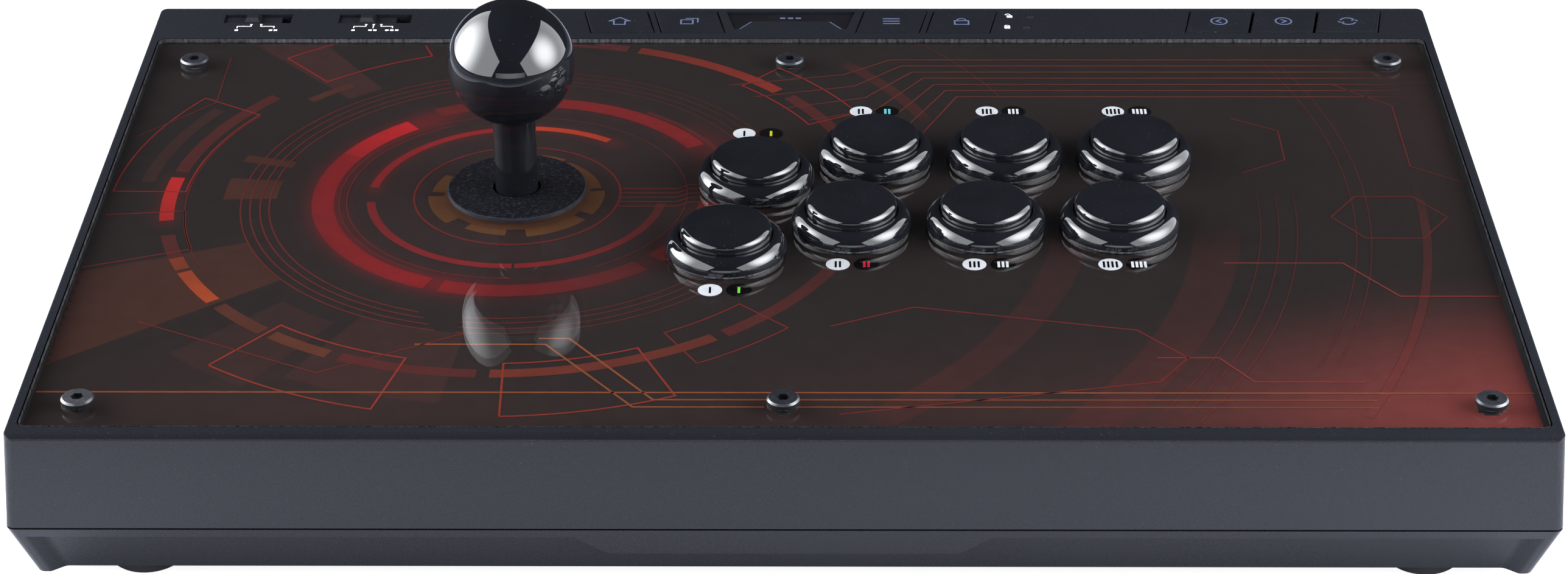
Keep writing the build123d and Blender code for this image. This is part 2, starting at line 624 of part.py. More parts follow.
with BuildPart() as lever_pivot:
    with Locations((LEVER_X, LEVER_Y, PIVOT_Z)):
        Sphere(PIVOT_RADIUS)
        Box(30, 30, 2 * PIVOT_HALF, mode=Mode.INTERSECT)
        Cylinder(SHAFT_RADIUS + TIGHT, 40, mode=Mode.SUBTRACT)
save(lever_pivot, "lever_pivot")

SHAFT_LOW_Z = 7.4
CLIP_Z = 8.0
CLIP_HEIGHT = 0.7
ACTUATOR_Z = 8.8
DRUM_Z = 12.5
DRUM_TOP_Z = 17.0
COLLAR_TOP_Z = 18.5
SHAFT_TOP_Z = BALL_Z - 2.0
BALL_CUT_Z = BALL_Z - (BALL_RADIUS**2 - (COVER_RADIUS + 0.25) ** 2) ** 0.5
COVER_LOW_Z = 36.0

with BuildPart() as lever_actuator:
    with BuildSketch(Plane.XY.offset(ACTUATOR_Z)):
        with Locations((LEVER_X, LEVER_Y)):
            Circle(5.5)
    extrude(amount=DRUM_Z - ACTUATOR_Z)
    with BuildSketch(Plane.XY.offset(DRUM_Z)):
        with Locations((LEVER_X, LEVER_Y)):
            Circle(9.0)
    extrude(amount=DRUM_TOP_Z - DRUM_Z)
    with Locations((LEVER_X, LEVER_Y, DRUM_Z)):
        Cylinder(SHAFT_RADIUS + TIGHT, 40, mode=Mode.SUBTRACT)
save(lever_actuator, "lever_actuator")

with BuildPart() as spring_collar:
    with BuildSketch(Plane.XY.offset(DRUM_TOP_Z)):
        with Locations((LEVER_X, LEVER_Y)):
            Circle(8.0)
            Circle(SHAFT_RADIUS + TIGHT, mode=Mode.SUBTRACT)
    extrude(amount=COLLAR_TOP_Z - DRUM_TOP_Z)
save(spring_collar, "spring_collar")

WIRE_RADIUS = 0.55
COIL_HEIGHT = PIVOT_Z - PIVOT_HALF - COLLAR_TOP_Z - 2 * WIRE_RADIUS - 0.3
with BuildPart() as lever_spring:
    with BuildLine() as coil:
        Helix(
            pitch=COIL_HEIGHT / 4,
            height=COIL_HEIGHT,
            radius=6.0,
            center=(LEVER_X, LEVER_Y, COLLAR_TOP_Z + WIRE_RADIUS + 0.15),
        )
    with BuildSketch(Plane(origin=coil.line @ 0, z_dir=coil.line % 0)):
        Circle(WIRE_RADIUS)
    sweep()
save(lever_spring, "lever_spring")

with BuildPart() as lever_shaft:
    with BuildSketch(Plane.XY.offset(SHAFT_LOW_Z)):
        with Locations((LEVER_X, LEVER_Y)):
            Circle(SHAFT_RADIUS)
    extrude(amount=SHAFT_TOP_Z - SHAFT_LOW_Z)
    with BuildSketch(Plane.XY.offset(CLIP_Z)):
        with Locations((LEVER_X, LEVER_Y)):
            Circle(SHAFT_RADIUS + 1)
            Circle(SHAFT_RADIUS - 0.7, mode=Mode.SUBTRACT)
    extrude(amount=CLIP_HEIGHT, mode=Mode.SUBTRACT)
save(lever_shaft, "lever_shaft")

with BuildPart() as e_clip:
    with BuildSketch(Plane.XY.offset(CLIP_Z + TIGHT)):
        with Locations((LEVER_X, LEVER_Y)):
            Circle(5.0)
            Circle(SHAFT_RADIUS - 0.7 + TIGHT, mode=Mode.SUBTRACT)
        with Locations((LEVER_X + 4.0, LEVER_Y)):
            Rectangle(6.0, 3.6, mode=Mode.SUBTRACT)
    extrude(amount=CLIP_HEIGHT - 2 * TIGHT)
save(e_clip, "e_clip")

with BuildPart() as shaft_cover:
    with BuildSketch(Plane.XY.offset(COVER_LOW_Z)):
        with Locations((LEVER_X, LEVER_Y)):
            Circle(COVER_RADIUS)
            Circle(SHAFT_RADIUS + TIGHT, mode=Mode.SUBTRACT)
    extrude(amount=BALL_CUT_Z - COVER_LOW_Z)
save(shaft_cover, "shaft_cover")

with BuildPart() as ball_top:
    with Locations((LEVER_X, LEVER_Y, BALL_Z)):
        Sphere(BALL_RADIUS)
    with BuildSketch(Plane.XY.offset(BALL_CUT_Z)):
        with Locations((LEVER_X, LEVER_Y)):
            Circle(BALL_RADIUS)
    extrude(amount=-BALL_RADIUS, mode=Mode.SUBTRACT)
    with BuildSketch(Plane.XY.offset(BALL_CUT_Z)):
        with Locations((LEVER_X, LEVER_Y)):
            Circle(SHAFT_RADIUS + TIGHT)
    extrude(amount=SHAFT_TOP_Z - BALL_CUT_Z + TIGHT, mode=Mode.SUBTRACT)
save(ball_top, "ball_top")

GATE_Z = 8.2
GATE_THICK = 2.8
LEVER_BOARD_Z = HOUSING_Z - 1.6
SWITCH_REACH = 14.5
SWITCH_THICK = 6.4
with BuildPart() as restrictor_gate:
    with BuildSketch(Plane.XY.offset(GATE_Z)):
        with Locations((LEVER_X, LEVER_Y)):
            RectangleRounded(HOUSING_SIDE, HOUSING_SIDE, 4)
            Rectangle(2 * 9.8, 2 * 9.8, mode=Mode.SUBTRACT)
    extrude(amount=GATE_THICK)
    with BuildSketch(Plane.XY.offset(GATE_Z + GATE_THICK)):
        with Locations((LEVER_X, LEVER_Y)):
            with GridLocations(50, 50, 2, 2):
                Circle(2.6)
    extrude(amount=LEVER_BOARD_Z - GATE_Z - GATE_THICK)
save(restrictor_gate, "restrictor_gate")

with BuildPart() as lever_switch_board:
    with BuildSketch(Plane.XY.offset(LEVER_BOARD_Z)):
        with Locations((LEVER_X, LEVER_Y)):
            RectangleRounded(HOUSING_SIDE, HOUSING_SIDE, 4)
            Circle(13.0, mode=Mode.SUBTRACT)
    extrude(amount=HOUSING_Z - LEVER_BOARD_Z)
save(lever_switch_board, "lever_switch_board")

with BuildPart() as lever_switches:
    for turn in range(4):
        with BuildSketch(Plane.XY.offset(GATE_Z + GATE_THICK + 0.2)):
            with Locations((LEVER_X, LEVER_Y)):
                with PolarLocations(SWITCH_REACH + SWITCH_THICK / 2, 1, start_angle=90 * turn):
                    Rectangle(SWITCH_THICK, 19.8)
        extrude(amount=LEVER_BOARD_Z - GATE_Z - GATE_THICK - 0.2)
save(lever_switches, "lever_switches")

# ---------------------------------------------------------------- push buttons
PLUNGER_CLEAR = 0.35
BODY_RADIUS = 14.6
BUTTON_FLOOR = 1.5
PLUNGER_TOP_Z = TOP_Z + PLUNGER_TOP
PLUNGER_LOW_Z = 32.0
PLUNGER_SKIN = 1.6

for number, (bx, by) in enumerate(BUTTON_CENTRES, start=1):
    with BuildPart() as housing:
        with BuildSketch(Plane.XY.offset(BUTTON_BOTTOM_Z)):
            with Locations((bx, by)):
                Circle(BODY_RADIUS)
        extrude(amount=TOP_Z - BUTTON_BOTTOM_Z)
        with BuildSketch(Plane.XZ.offset(-by)):
            with BuildLine():
                Polyline((bx, TOP_Z), (bx + RIM_RADIUS, TOP_Z), (bx + RIM_RADIUS, TOP_Z + RIM_LIP))
                EllipticalCenterArc(
                    center=(bx + RIM_CREST, TOP_Z + RIM_LIP),
                    x_radius=RIM_RADIUS - RIM_CREST,
                    y_radius=RIM_HEIGHT - RIM_LIP,
                    start_angle=0,
                    arc_size=90,
                )
                Polyline((bx + RIM_CREST, TOP_Z + RIM_HEIGHT), (bx, TOP_Z + RIM_HEIGHT), (bx, TOP_Z))
            make_face()
        revolve(axis=Axis((bx, by, 0), (0, 0, 1)))
        with BuildSketch(Plane.XY.offset(BUTTON_BOTTOM_Z + BUTTON_FLOOR)):
            with Locations((bx, by)):
                Circle(PLUNGER_RADIUS + PLUNGER_CLEAR)
        extrude(amount=TOP_Z + RIM_HEIGHT - BUTTON_BOTTOM_Z, mode=Mode.SUBTRACT)
        # opening in the floor for the switch stem
        with BuildSketch(Plane.XY.offset(BUTTON_BOTTOM_Z)):
            with Locations((bx, by)):
                Circle(3.2)
        extrude(amount=BUTTON_FLOOR, mode=Mode.SUBTRACT)
        # snap tabs below the steel plate
        with BuildSketch(Plane.XY.offset(PLATE_Z - 3.6)):
            with Locations((bx, by)):
                with PolarLocations(BODY_RADIUS + 0.3, 2):
                    Rectangle(1.6, 6.0)
        extrude(amount=3.5)
    save(housing, f"button_{number}_housing")

    with BuildPart() as plunger:
        with BuildSketch(Plane.XY.offset(PLUNGER_LOW_Z)):
            with Locations((bx, by)):
                Circle(PLUNGER_RADIUS)
        extrude(amount=PLUNGER_TOP_Z - PLUNGER_LOW_Z)
        fillet(plunger.faces().sort_by(Axis.Z)[-1].edges(), 1.8)
        with BuildSketch(Plane.XY.offset(PLUNGER_LOW_Z)):
            with Locations((bx, by)):
                Circle(PLUNGER_RADIUS - PLUNGER_SKIN)
        extrude(amount=PLUNGER_TOP_Z - PLUNGER_LOW_Z - 2.5, mode=Mode.SUBTRACT)
        with BuildSketch(Plane.XY.offset(PLUNGER_LOW_Z - 1.0)):
            with Locations((bx, by)):
                Circle(2.6)
        extrude(amount=PLUNGER_TOP_Z - PLUNGER_LOW_Z - 1.0)
    save(plunger, f"button_{number}_plunger")

with BuildPart() as button_switches:
    with BuildSketch(Plane.XY.offset(BUTTON_BOTTOM_Z)):
        with Locations(*BUTTON_CENTRES):
            Rectangle(19.8, 10.0)
    extrude(amount=-7.0)
    with BuildSketch(Plane.XY.offset(BUTTON_BOTTOM_Z - 7.0)):
        with Locations(*[(x + shift, y) for x, y in BUTTON_CENTRES for shift in (-7.5, 7.5)]):
            Rectangle(0.8, 4.8)
    extrude(amount=-6.0)
save(button_switches, "button_switches")

# ---------------------------------------------------------------- control strip
for key_name, key_x, key_width, key_lean in KEYS:
    with BuildPart() as key:
        with BuildSketch(Plane.XY.offset(KEY_FLANGE_Z + 1.3)):
            with BuildLine():
                Polyline(*lean_outline(key_x, KEY_Y, key_width, KEY_DEPTH, key_lean), close=True)
            make_face()
        extrude(amount=TOP_Z + KEY_PROUD - KEY_FLANGE_Z - 1.3)
        chamfer(key.faces().sort_by(Axis.Z)[-1].edges(), 0.4)
        flange = 2 * KEY_FLANGE - 0.2 if key_width == KEY_WIDTH else 0.0
        with BuildSketch(Plane.XY.offset(KEY_FLANGE_Z)):
            with BuildLine():
                Polyline(
                    *lean_outline(key_x, KEY_Y, key_width + flange, KEY_DEPTH + 2 * KEY_FLANGE, key_lean),
                    close=True,
                )
            make_face()
        extrude(amount=1.3)
    save(key, key_name)

SLIDER_FLANGE_Z = 42.0
for slider_name, slot_x, slot_length, travel in SLIDERS:
    plate_length = slot_length - travel - 0.2
    plate_x = slot_x - slot_length / 2 + 0.1 + plate_length / 2
    with BuildPart() as slider:
        with BuildSketch(Plane.XY.offset(SLIDER_FLANGE_Z)):
            with Locations((slot_x - travel / 2, SLOT_Y)):
                Rectangle(slot_length + 3.0, SLOT_DEPTH + 2.0)
        extrude(amount=1.3)
        with BuildSketch(Plane.XY.offset(SLIDER_FLANGE_Z + 1.3)):
            with Locations((plate_x, SLOT_Y)):
                Rectangle(plate_length, SLOT_DEPTH - 2 * KEY_GAP)
        extrude(amount=TOP_Z - 0.8 - SLIDER_FLANGE_Z - 1.3)
        # finger hump
        with BuildSketch(Plane.XY.offset(TOP_Z - 0.8)):
            with Locations((plate_x, SLOT_Y)):
                Rectangle(5.2, SLOT_DEPTH - 2 * KEY_GAP)
        with BuildSketch(Plane.XY.offset(TOP_Z + 1.4)):
            with Locations((plate_x, SLOT_Y)):
                Rectangle(3.4, SLOT_DEPTH - 2 * KEY_GAP - 1.0)
        loft()
    save(slider, slider_name)

with BuildPart() as status_window:
    inset = 0.15
    with BuildSketch(Plane.XY.offset(TOP_Z - WINDOW_DEPTH)):
        with BuildLine():
            Polyline(
                (-WINDOW_FRONT_HALF + inset, WINDOW_FRONT_Y + inset),
                (-NOTCH_FRONT_HALF - inset, WINDOW_FRONT_Y + inset),
                (-NOTCH_REAR_HALF - inset, NOTCH_REAR_Y + inset),
                (NOTCH_REAR_HALF + inset, NOTCH_REAR_Y + inset),
                (NOTCH_FRONT_HALF + inset, WINDOW_FRONT_Y + inset),
                (WINDOW_FRONT_HALF - inset, WINDOW_FRONT_Y + inset),
                (WINDOW_TOP_HALF - inset, WINDOW_REAR_Y - inset),
                (-WINDOW_TOP_HALF + inset, WINDOW_REAR_Y - inset),
                close=True,
            )
        make_face()
    extrude(amount=WINDOW_DEPTH - 0.6)
save(status_window, "status_window")

with BuildPart() as led_lenses:
    with BuildSketch(Plane.XY.offset(SKIN_Z)):
        with Locations(*LED_SPOTS):
            Rectangle(LED_WIDTH, LED_DEPTH)
    extrude(amount=TOP_Z - SKIN_Z - 0.1)
save(led_lenses, "led_lenses")

TACT_TOP_Z = 41.0
BOARD_TOP_Z = BOARD_Z + BOARD_THICK
with BuildPart() as control_board:
    with BuildSketch(Plane.XY.offset(BOARD_Z)):
        with Locations((4, 113.1)):
            Rectangle(368, 16.6)
        with Locations(*CASE_SCREWS[:2]):
            Circle(BOSS_RADIUS + 0.5, mode=Mode.SUBTRACT)
        with Locations(*BOARD_POSTS):
            Circle(BOARD_SCREW_RADIUS + TIGHT, mode=Mode.SUBTRACT)
    extrude(amount=BOARD_THICK)
    # tact switches under the keys
    with BuildSketch(Plane.XY.offset(BOARD_TOP_Z)):
        with Locations(*[(entry[1], KEY_Y) for entry in KEYS]):
            Rectangle(6.2, 6.2)
    extrude(amount=2.2)
    with BuildSketch(Plane.XY.offset(BOARD_TOP_Z + 2.2)):
        with Locations(*[(entry[1], KEY_Y) for entry in KEYS]):
            Circle(1.75)
    extrude(amount=TACT_TOP_Z - BOARD_TOP_Z - 2.2)
    # indicator lamps
    with BuildSketch(Plane.XY.offset(BOARD_TOP_Z)):
        with Locations(*LED_SPOTS):
            Rectangle(2.0, 1.6)
    extrude(amount=1.6)
save(control_board, "control_board")

with BuildPart() as slide_switches:
    for _, slot_x, slot_length, travel in SLIDERS:
        with BuildSketch(Plane.XY.offset(BOARD_TOP_Z)):
            with Locations((slot_x - travel / 2, SLOT_Y)):
                Rectangle(11.0, 4.4)
        extrude(amount=3.4)
save(slide_switches, "slide_switches")

with BuildPart() as main_board:
    with BuildSketch(Plane.XY.offset(MAIN_BOARD_Z)):
        with Locations((0, 97)):
            Rectangle(80, 42)
        with Locations(*MAIN_POSTS):
            Circle(BOARD_SCREW_RADIUS + TIGHT, mode=Mode.SUBTRACT)
    extrude(amount=BOARD_THICK)
    main_top_z = MAIN_BOARD_Z + BOARD_THICK
    # controller chip, oscillator and plug headers
    with BuildSketch(Plane.XY.offset(main_top_z)):
        with Locations((-14, 95)):
            Rectangle(12, 12)
    extrude(amount=1.4)
    with BuildSketch(Plane.XY.offset(main_top_z)):
        with Locations((-14, 80)):
            Rectangle(24, 5.8)
        with Locations((16, 80)):
            Rectangle(18, 5.8)
    extrude(amount=6.0)
    with BuildSketch(Plane.XY.offset(main_top_z)):
        with Locations((6, 93)):
            Rectangle(10, 4)
    extrude(amount=3.5)
save(main_board, "main_board")

with BuildPart() as usb_socket:
    socket_z = MAIN_BOARD_Z + BOARD_THICK
    with BuildSketch(Plane.XY.offset(socket_z)):
        with Locations((0, (SOCKET_FRONT_Y + SOCKET_REAR_Y) / 2)):
            Rectangle(SOCKET_WIDTH, SOCKET_REAR_Y - SOCKET_FRONT_Y)
    extrude(amount=SOCKET_HEIGHT)
    with BuildSketch(Plane.XZ.offset(-SOCKET_REAR_Y)):
        with Locations((0, socket_z + SOCKET_HEIGHT / 2)):
            Rectangle(8.6, 7.8)
    extrude(amount=10.0, mode=Mode.SUBTRACT)
    with BuildSketch(Plane.XZ.offset(-SOCKET_REAR_Y + 10.0)):
        with Locations((0, socket_z + SOCKET_HEIGHT / 2)):
            Rectangle(5.6, 3.2)
    extrude(amount=-4.0)
save(usb_socket, "usb_socket")

with BuildPart() as board_screws:
    # control board, driven from below
    with BuildSketch(Plane.XY.offset(BOARD_Z)):
        with Locations(*BOARD_POSTS):
            Circle(2.6)
    extrude(amount=-1.6)
    with BuildSketch(Plane.XY.offset(BOARD_Z)):
        with Locations(*BOARD_POSTS):
            Circle(BOARD_SCREW_RADIUS)
    extrude(amount=BOARD_SCREW_LENGTH)
    # main board, driven from above
    with BuildSketch(Plane.XY.offset(MAIN_BOARD_Z + BOARD_THICK)):
        with Locations(*MAIN_POSTS):
            Circle(2.6)
    extrude(amount=1.6)
    with BuildSketch(Plane.XY.offset(MAIN_BOARD_Z + BOARD_THICK)):
        with Locations(*MAIN_POSTS):
            Circle(BOARD_SCREW_RADIUS)
    extrude(amount=-BOARD_SCREW_LENGTH)
save(board_screws, "board_screws")
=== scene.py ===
import json
import math

import bmesh
import bpy
import numpy as np
from mathutils import Matrix, Vector


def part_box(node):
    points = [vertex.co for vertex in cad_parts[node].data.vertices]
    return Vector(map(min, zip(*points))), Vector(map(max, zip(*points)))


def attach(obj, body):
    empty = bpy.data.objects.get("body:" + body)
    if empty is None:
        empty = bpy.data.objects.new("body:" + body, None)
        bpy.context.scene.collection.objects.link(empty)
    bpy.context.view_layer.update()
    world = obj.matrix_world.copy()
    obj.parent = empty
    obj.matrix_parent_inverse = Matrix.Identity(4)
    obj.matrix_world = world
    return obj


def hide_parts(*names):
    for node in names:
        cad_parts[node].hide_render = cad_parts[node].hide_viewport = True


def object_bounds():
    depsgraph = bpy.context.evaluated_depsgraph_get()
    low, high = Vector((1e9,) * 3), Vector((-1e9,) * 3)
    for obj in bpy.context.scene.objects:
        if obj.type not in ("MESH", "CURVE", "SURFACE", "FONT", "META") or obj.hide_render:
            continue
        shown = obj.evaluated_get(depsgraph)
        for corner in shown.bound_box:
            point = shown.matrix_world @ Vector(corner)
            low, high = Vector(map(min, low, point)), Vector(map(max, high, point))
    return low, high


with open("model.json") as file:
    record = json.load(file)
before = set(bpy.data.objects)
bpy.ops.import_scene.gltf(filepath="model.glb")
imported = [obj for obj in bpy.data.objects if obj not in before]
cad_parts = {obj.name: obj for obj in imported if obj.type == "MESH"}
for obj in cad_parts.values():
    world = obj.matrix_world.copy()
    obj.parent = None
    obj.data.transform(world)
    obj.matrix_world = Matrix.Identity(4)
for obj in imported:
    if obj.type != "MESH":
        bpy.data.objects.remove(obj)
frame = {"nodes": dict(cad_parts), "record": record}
CAD_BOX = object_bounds()
NODES = frame["nodes"]
MM = 0.001
BUTTONS = range(1, 9)
REAR_BUTTONS = range(1, 5)
KEYS = ("home", "view", "menu", "lock", "stick_left", "stick_right", "swap")


def linear(r, g, b):
    """A display colour, 0 to 255, as linear numbers."""
    return tuple(
        ((c / 255 + 0.055) / 1.055) ** 2.4 if c > 10 else c / 255 / 12.92
        for c in (r, g, b)
    )


def centre(node):
    """The middle of a node's box, in metres."""
    low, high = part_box(node)
    return (low + high) / 2


# ---------------------------------------------------------------- camera

SENSOR_WIDTH, LENS = 36, 82.867                  # mm
CAMERA_AT = (10.04, -884.38, 519.71)             # mm
HEADING, LOOK_DOWN, ROLL = 0.714, 29.55, -0.308  # degrees

camera = bpy.data.objects.new("camera", bpy.data.cameras.new("camera"))
bpy.context.scene.collection.objects.link(camera)
camera.data.sensor_width = SENSOR_WIDTH
camera.data.lens = LENS
camera.data.clip_start, camera.data.clip_end = 0.05, 30
camera.matrix_world = (
    Matrix.Translation(Vector(CAMERA_AT) * MM)
    @ Matrix.Rotation(math.radians(HEADING), 4, "Z")
    @ Matrix.Rotation(math.radians(90 - LOOK_DOWN), 4, "X")
    @ Matrix.Rotation(math.radians(ROLL), 4, "Z")
)
bpy.context.scene.camera = camera
bpy.context.scene.view_settings.view_transform = "Standard"


# ---------------------------------------------------------------- materials

class Net:
    """A material's node tree, with short calls to add and join nodes."""

    def __init__(self, name):
        self.material = bpy.data.materials.new(name)
        self.material.use_nodes = True
        self.tree = self.material.node_tree
        self.tree.nodes.clear()
        self.out = self.add("OutputMaterial")
        self.shader = self.add("BsdfPrincipled")
        self.join(self.shader.outputs[0], self.out.inputs["Surface"])
        self.where = self.add("TexCoord").outputs["Object"]

    def add(self, kind, **settings):
        node = self.tree.nodes.new("ShaderNode" + kind)
        for key, value in settings.items():
            setattr(node, key, value)
        return node

    def join(self, source, target):
        self.tree.links.new(source, target)

    def stretched(self, scale):
        """The place in the object, scaled along each axis, for a texture with a grain."""
        node = self.add("Mapping")
        node.inputs["Scale"].default_value = scale
        self.join(self.where, node.inputs["Vector"])
        return node.outputs[0]

    def noise(self, size, detail=3.0, rough=0.5, at=None):
        """Noise with features about that many mm across."""
        node = self.add("TexNoise")
        node.inputs["Scale"].default_value = 1000 / size
        node.inputs["Detail"].default_value = detail
        node.inputs["Roughness"].default_value = rough
        self.join(at or self.where, node.inputs["Vector"])
        return node.outputs["Fac"]

    def cells(self, size, feature, at=None):
        """Cells about that many mm across."""
        node = self.add("TexVoronoi", feature=feature)
        node.inputs["Scale"].default_value = 1000 / size
        self.join(at or self.where, node.inputs["Vector"])
        return node.outputs["Distance"]

    def span(self, source, low, high, to_low, to_high, smooth=False):
        """Takes the range low to high onto to_low to to_high, and holds it there."""
        node = self.add("MapRange", interpolation_type="SMOOTHSTEP" if smooth else "LINEAR")
        limits = {"From Min": low, "From Max": high, "To Min": to_low, "To Max": to_high}
        for key, value in limits.items():
            node.inputs[key].default_value = value
        self.join(source, node.inputs["Value"])
        return node.outputs[0]

    def maths(self, operation, a, b):
        """Arithmetic on two sockets or numbers."""
        node = self.add("Math", operation=operation)
        for socket, value in zip(node.inputs, (a, b)):
            if isinstance(value, (int, float)):
                socket.default_value = value
            else:
                self.join(value, socket)
        return node.outputs[0]

    def tint(self, factor, first, second):
        """One colour to another by factor. Either may be a socket."""
        node = self.add("Mix", data_type="RGBA")
        self.join(factor, node.inputs["Factor"])
        for socket, value in ((node.inputs[6], first), (node.inputs[7], second)):
            if isinstance(value, bpy.types.NodeSocket):
                self.join(value, socket)
            else:
                socket.default_value = (*value, 1)
        return node.outputs[2]

    def bump(self, height, depth, under=None):
        """Relief of that depth in mm where height goes from 0 to 1."""
        node = self.add("Bump")
        node.inputs["Distance"].default_value = depth * MM
        self.join(height, node.inputs["Height"])
        if under is not None:
            self.join(under, node.inputs["Normal"])
        return node.outputs[0]

    def set(self, **values):
        """Constants on the shader's own sockets, with _ for each space in a socket's name."""
        for key, value in values.items():
            self.shader.inputs[key.replace("_", " ")].default_value = value


LEAST_ROUGH, COAT_ROUGH = 0.015, 0.05


def creased(net, size):
    """Creases about that many mm apart, broken up here and there: 1 along a crease and 0 elsewhere."""
    wander = net.add("TexNoise")
    wander.inputs["Scale"].default_value = 1000 / (size * 1.3)
    net.join(net.where, wander.inputs["Vector"])
    small = net.add("VectorMath", operation="SCALE")
    small.inputs["Scale"].default_value = size * MM * 0.9
    net.join(wander.outputs["Color"], small.inputs[0])
    bent = net.add("VectorMath", operation="ADD")
    net.join(net.where, bent.inputs[0])
    net.join(small.outputs[0], bent.inputs[1])
    ridge = net.span(net.cells(size, "DISTANCE_TO_EDGE", at=bent.outputs[0]), 0, 0.13, 1, 0, True)
    broken = net.span(net.noise(size * 0.8, 2), 0.42, 0.6, 0, 1, True)
    return net.maths("MULTIPLY", ridge, broken)


def surface(name, colour, rough, *, tint=0.12, patch=28, grain=0.5, depth=0.02, spread=0.06,
            relief="noise", metal=0.0, specular=0.5, coat=0.0, wave=0.0, speck=None):
    """A moulded, turned or painted surface. patch and grain are the sizes in mm of the slow colour
    change and of the fine relief, depth is the relief's height in mm, wave is the height in mm of a
    slow unevenness, and speck is the colour of dust."""
    net = Net(name)
    slow = net.noise(patch, 4)
    paler = tuple(min(1, c * (1 + tint)) for c in colour)
    darker = tuple(c * (1 - tint) for c in colour)
    shade = net.tint(net.span(slow, 0.3, 0.7, 0, 1), darker, paler)
    if relief == "brushed":
        fine = net.noise(grain, 2, at=net.stretched((0.04, 1, 1)))
    elif relief == "pebble":
        fine = net.cells(grain, "SMOOTH_F1")
    elif relief == "creases":
        fine = creased(net, grain)
        # Painted highlight: the crease lines are three times paler than the rest, for the glints along the
        # ridges of the grain.
        shade = net.tint(fine, shade, tuple(c * 3 for c in colour))
    else:
        fine = net.noise(grain, 2)
    if speck:
        dust = net.span(net.noise(0.55, 1), 0.735, 0.79, 0, 0.6, True)
        shade = net.tint(dust, shade, speck)
    net.join(shade, net.shader.inputs["Base Color"])
    mixed = net.maths("ADD", net.maths("MULTIPLY", slow, 0.5), net.maths("MULTIPLY", fine, 0.5))
    uneven = net.span(mixed, 0.25, 0.75, max(LEAST_ROUGH, rough - spread), rough + spread)
    net.join(uneven, net.shader.inputs["Roughness"])
    normal = net.bump(net.noise(9, 1), wave) if wave else None
    net.join(net.bump(fine, depth, normal), net.shader.inputs["Normal"])
    net.set(Metallic=metal, Specular_IOR_Level=specular, Coat_Weight=coat, Coat_Roughness=COAT_ROUGH)
    return net.material


def ink(name, rough=0.42):
    """Printed film: the colour is in the mesh, with the fine dots of the print over it."""
    net = Net(name)
    colour = net.add("Attribute", attribute_name="ink").outputs["Color"]
    dots = net.span(net.noise(0.35, 1), 0.35, 0.65, 0.93, 1.07)
    mottle = net.span(net.noise(5, 4), 0.3, 0.7, 0.94, 1.06)
    scale = net.add("VectorMath", operation="SCALE")
    net.join(colour, scale.inputs[0])
    net.join(net.maths("MULTIPLY", dots, mottle), scale.inputs["Scale"])
    net.join(scale.outputs[0], net.shader.inputs["Base Color"])
    uneven = net.span(net.noise(0.5, 2), 0.3, 0.7, rough - 0.06, rough + 0.06)
    net.join(uneven, net.shader.inputs["Roughness"])
    net.join(net.bump(net.noise(0.35, 1), 0.004), net.shader.inputs["Normal"])
    net.set(Specular_IOR_Level=0.0)
    return net.material


def clear(name, colour, rough, scratches=0.0015):
    """Clear plastic that lets the lamps' light through to what lies under it. scratches is in mm."""
    net = Net(name)
    net.set(Base_Color=(*colour, 1), Transmission_Weight=1.0, IOR=1.4)
    uneven = net.span(net.noise(40, 3), 0.3, 0.7, max(0, rough - 0.005), rough + 0.012)
    net.join(uneven, net.shader.inputs["Roughness"])
    net.join(net.bump(net.noise(30, 2), scratches), net.shader.inputs["Normal"])
    through = net.add("BsdfTransparent")
    mix = net.add("MixShader")
    net.join(net.add("LightPath").outputs["Is Shadow Ray"], mix.inputs[0])
    net.join(net.shader.outputs[0], mix.inputs[1])
    net.join(through.outputs[0], mix.inputs[2])
    net.join(mix.outputs[0], net.out.inputs["Surface"])
    return net.material


def sawn_edge(name):
    """The cut faces of the acrylic: pale, frosted, with the marks that the saw left down them."""
    net = Net(name)
    marks = net.noise(1.1, 4, 0.6, at=net.stretched((1, 1, 0.12)))
    shade = net.tint(net.span(marks, 0.35, 0.7, 0, 1), linear(56, 55, 58), linear(174, 174, 182))
    net.join(shade, net.shader.inputs["Base Color"])
    net.join(net.span(marks, 0.3, 0.7, 0.22, 0.5), net.shader.inputs["Roughness"])
    net.join(net.bump(marks, 0.05), net.shader.inputs["Normal"])
    return net.material


# case, feet and keys
CASE = surface("case_plastic", linear(21, 22, 26), 0.3, tint=0.07, patch=60, grain=0.38,
               depth=0.011, relief="pebble", specular=0.5, speck=linear(56, 57, 64))
RUBBER = surface("foot_rubber", linear(26, 26, 28), 0.72, grain=0.6, depth=0.05, relief="pebble")
KEY = surface("key_plastic", linear(20, 21, 25), 0.26, tint=0.08, patch=14, grain=0.3, depth=0.008,
              relief="pebble", specular=0.5, speck=linear(78, 80, 90))
WINDOW = surface("window_gloss", linear(14, 14, 17), 0.06, tint=0.2, patch=9, grain=0.6,
                 depth=0.001, spread=0.03, specular=0.6, coat=0.5, wave=0.002)
LAMP = surface("lamp_lens", linear(34, 30, 34), 0.16, tint=0.3, patch=0.8, grain=0.4, depth=0.02,
               relief="pebble")
LEGEND = surface("legend_white", linear(226, 228, 236), 0.5, tint=0.04, patch=2, grain=0.2,
                 depth=0.003)
ICON = surface("legend_grey", linear(72, 80, 104), 0.5, tint=0.08, patch=2, grain=0.2, depth=0.003)

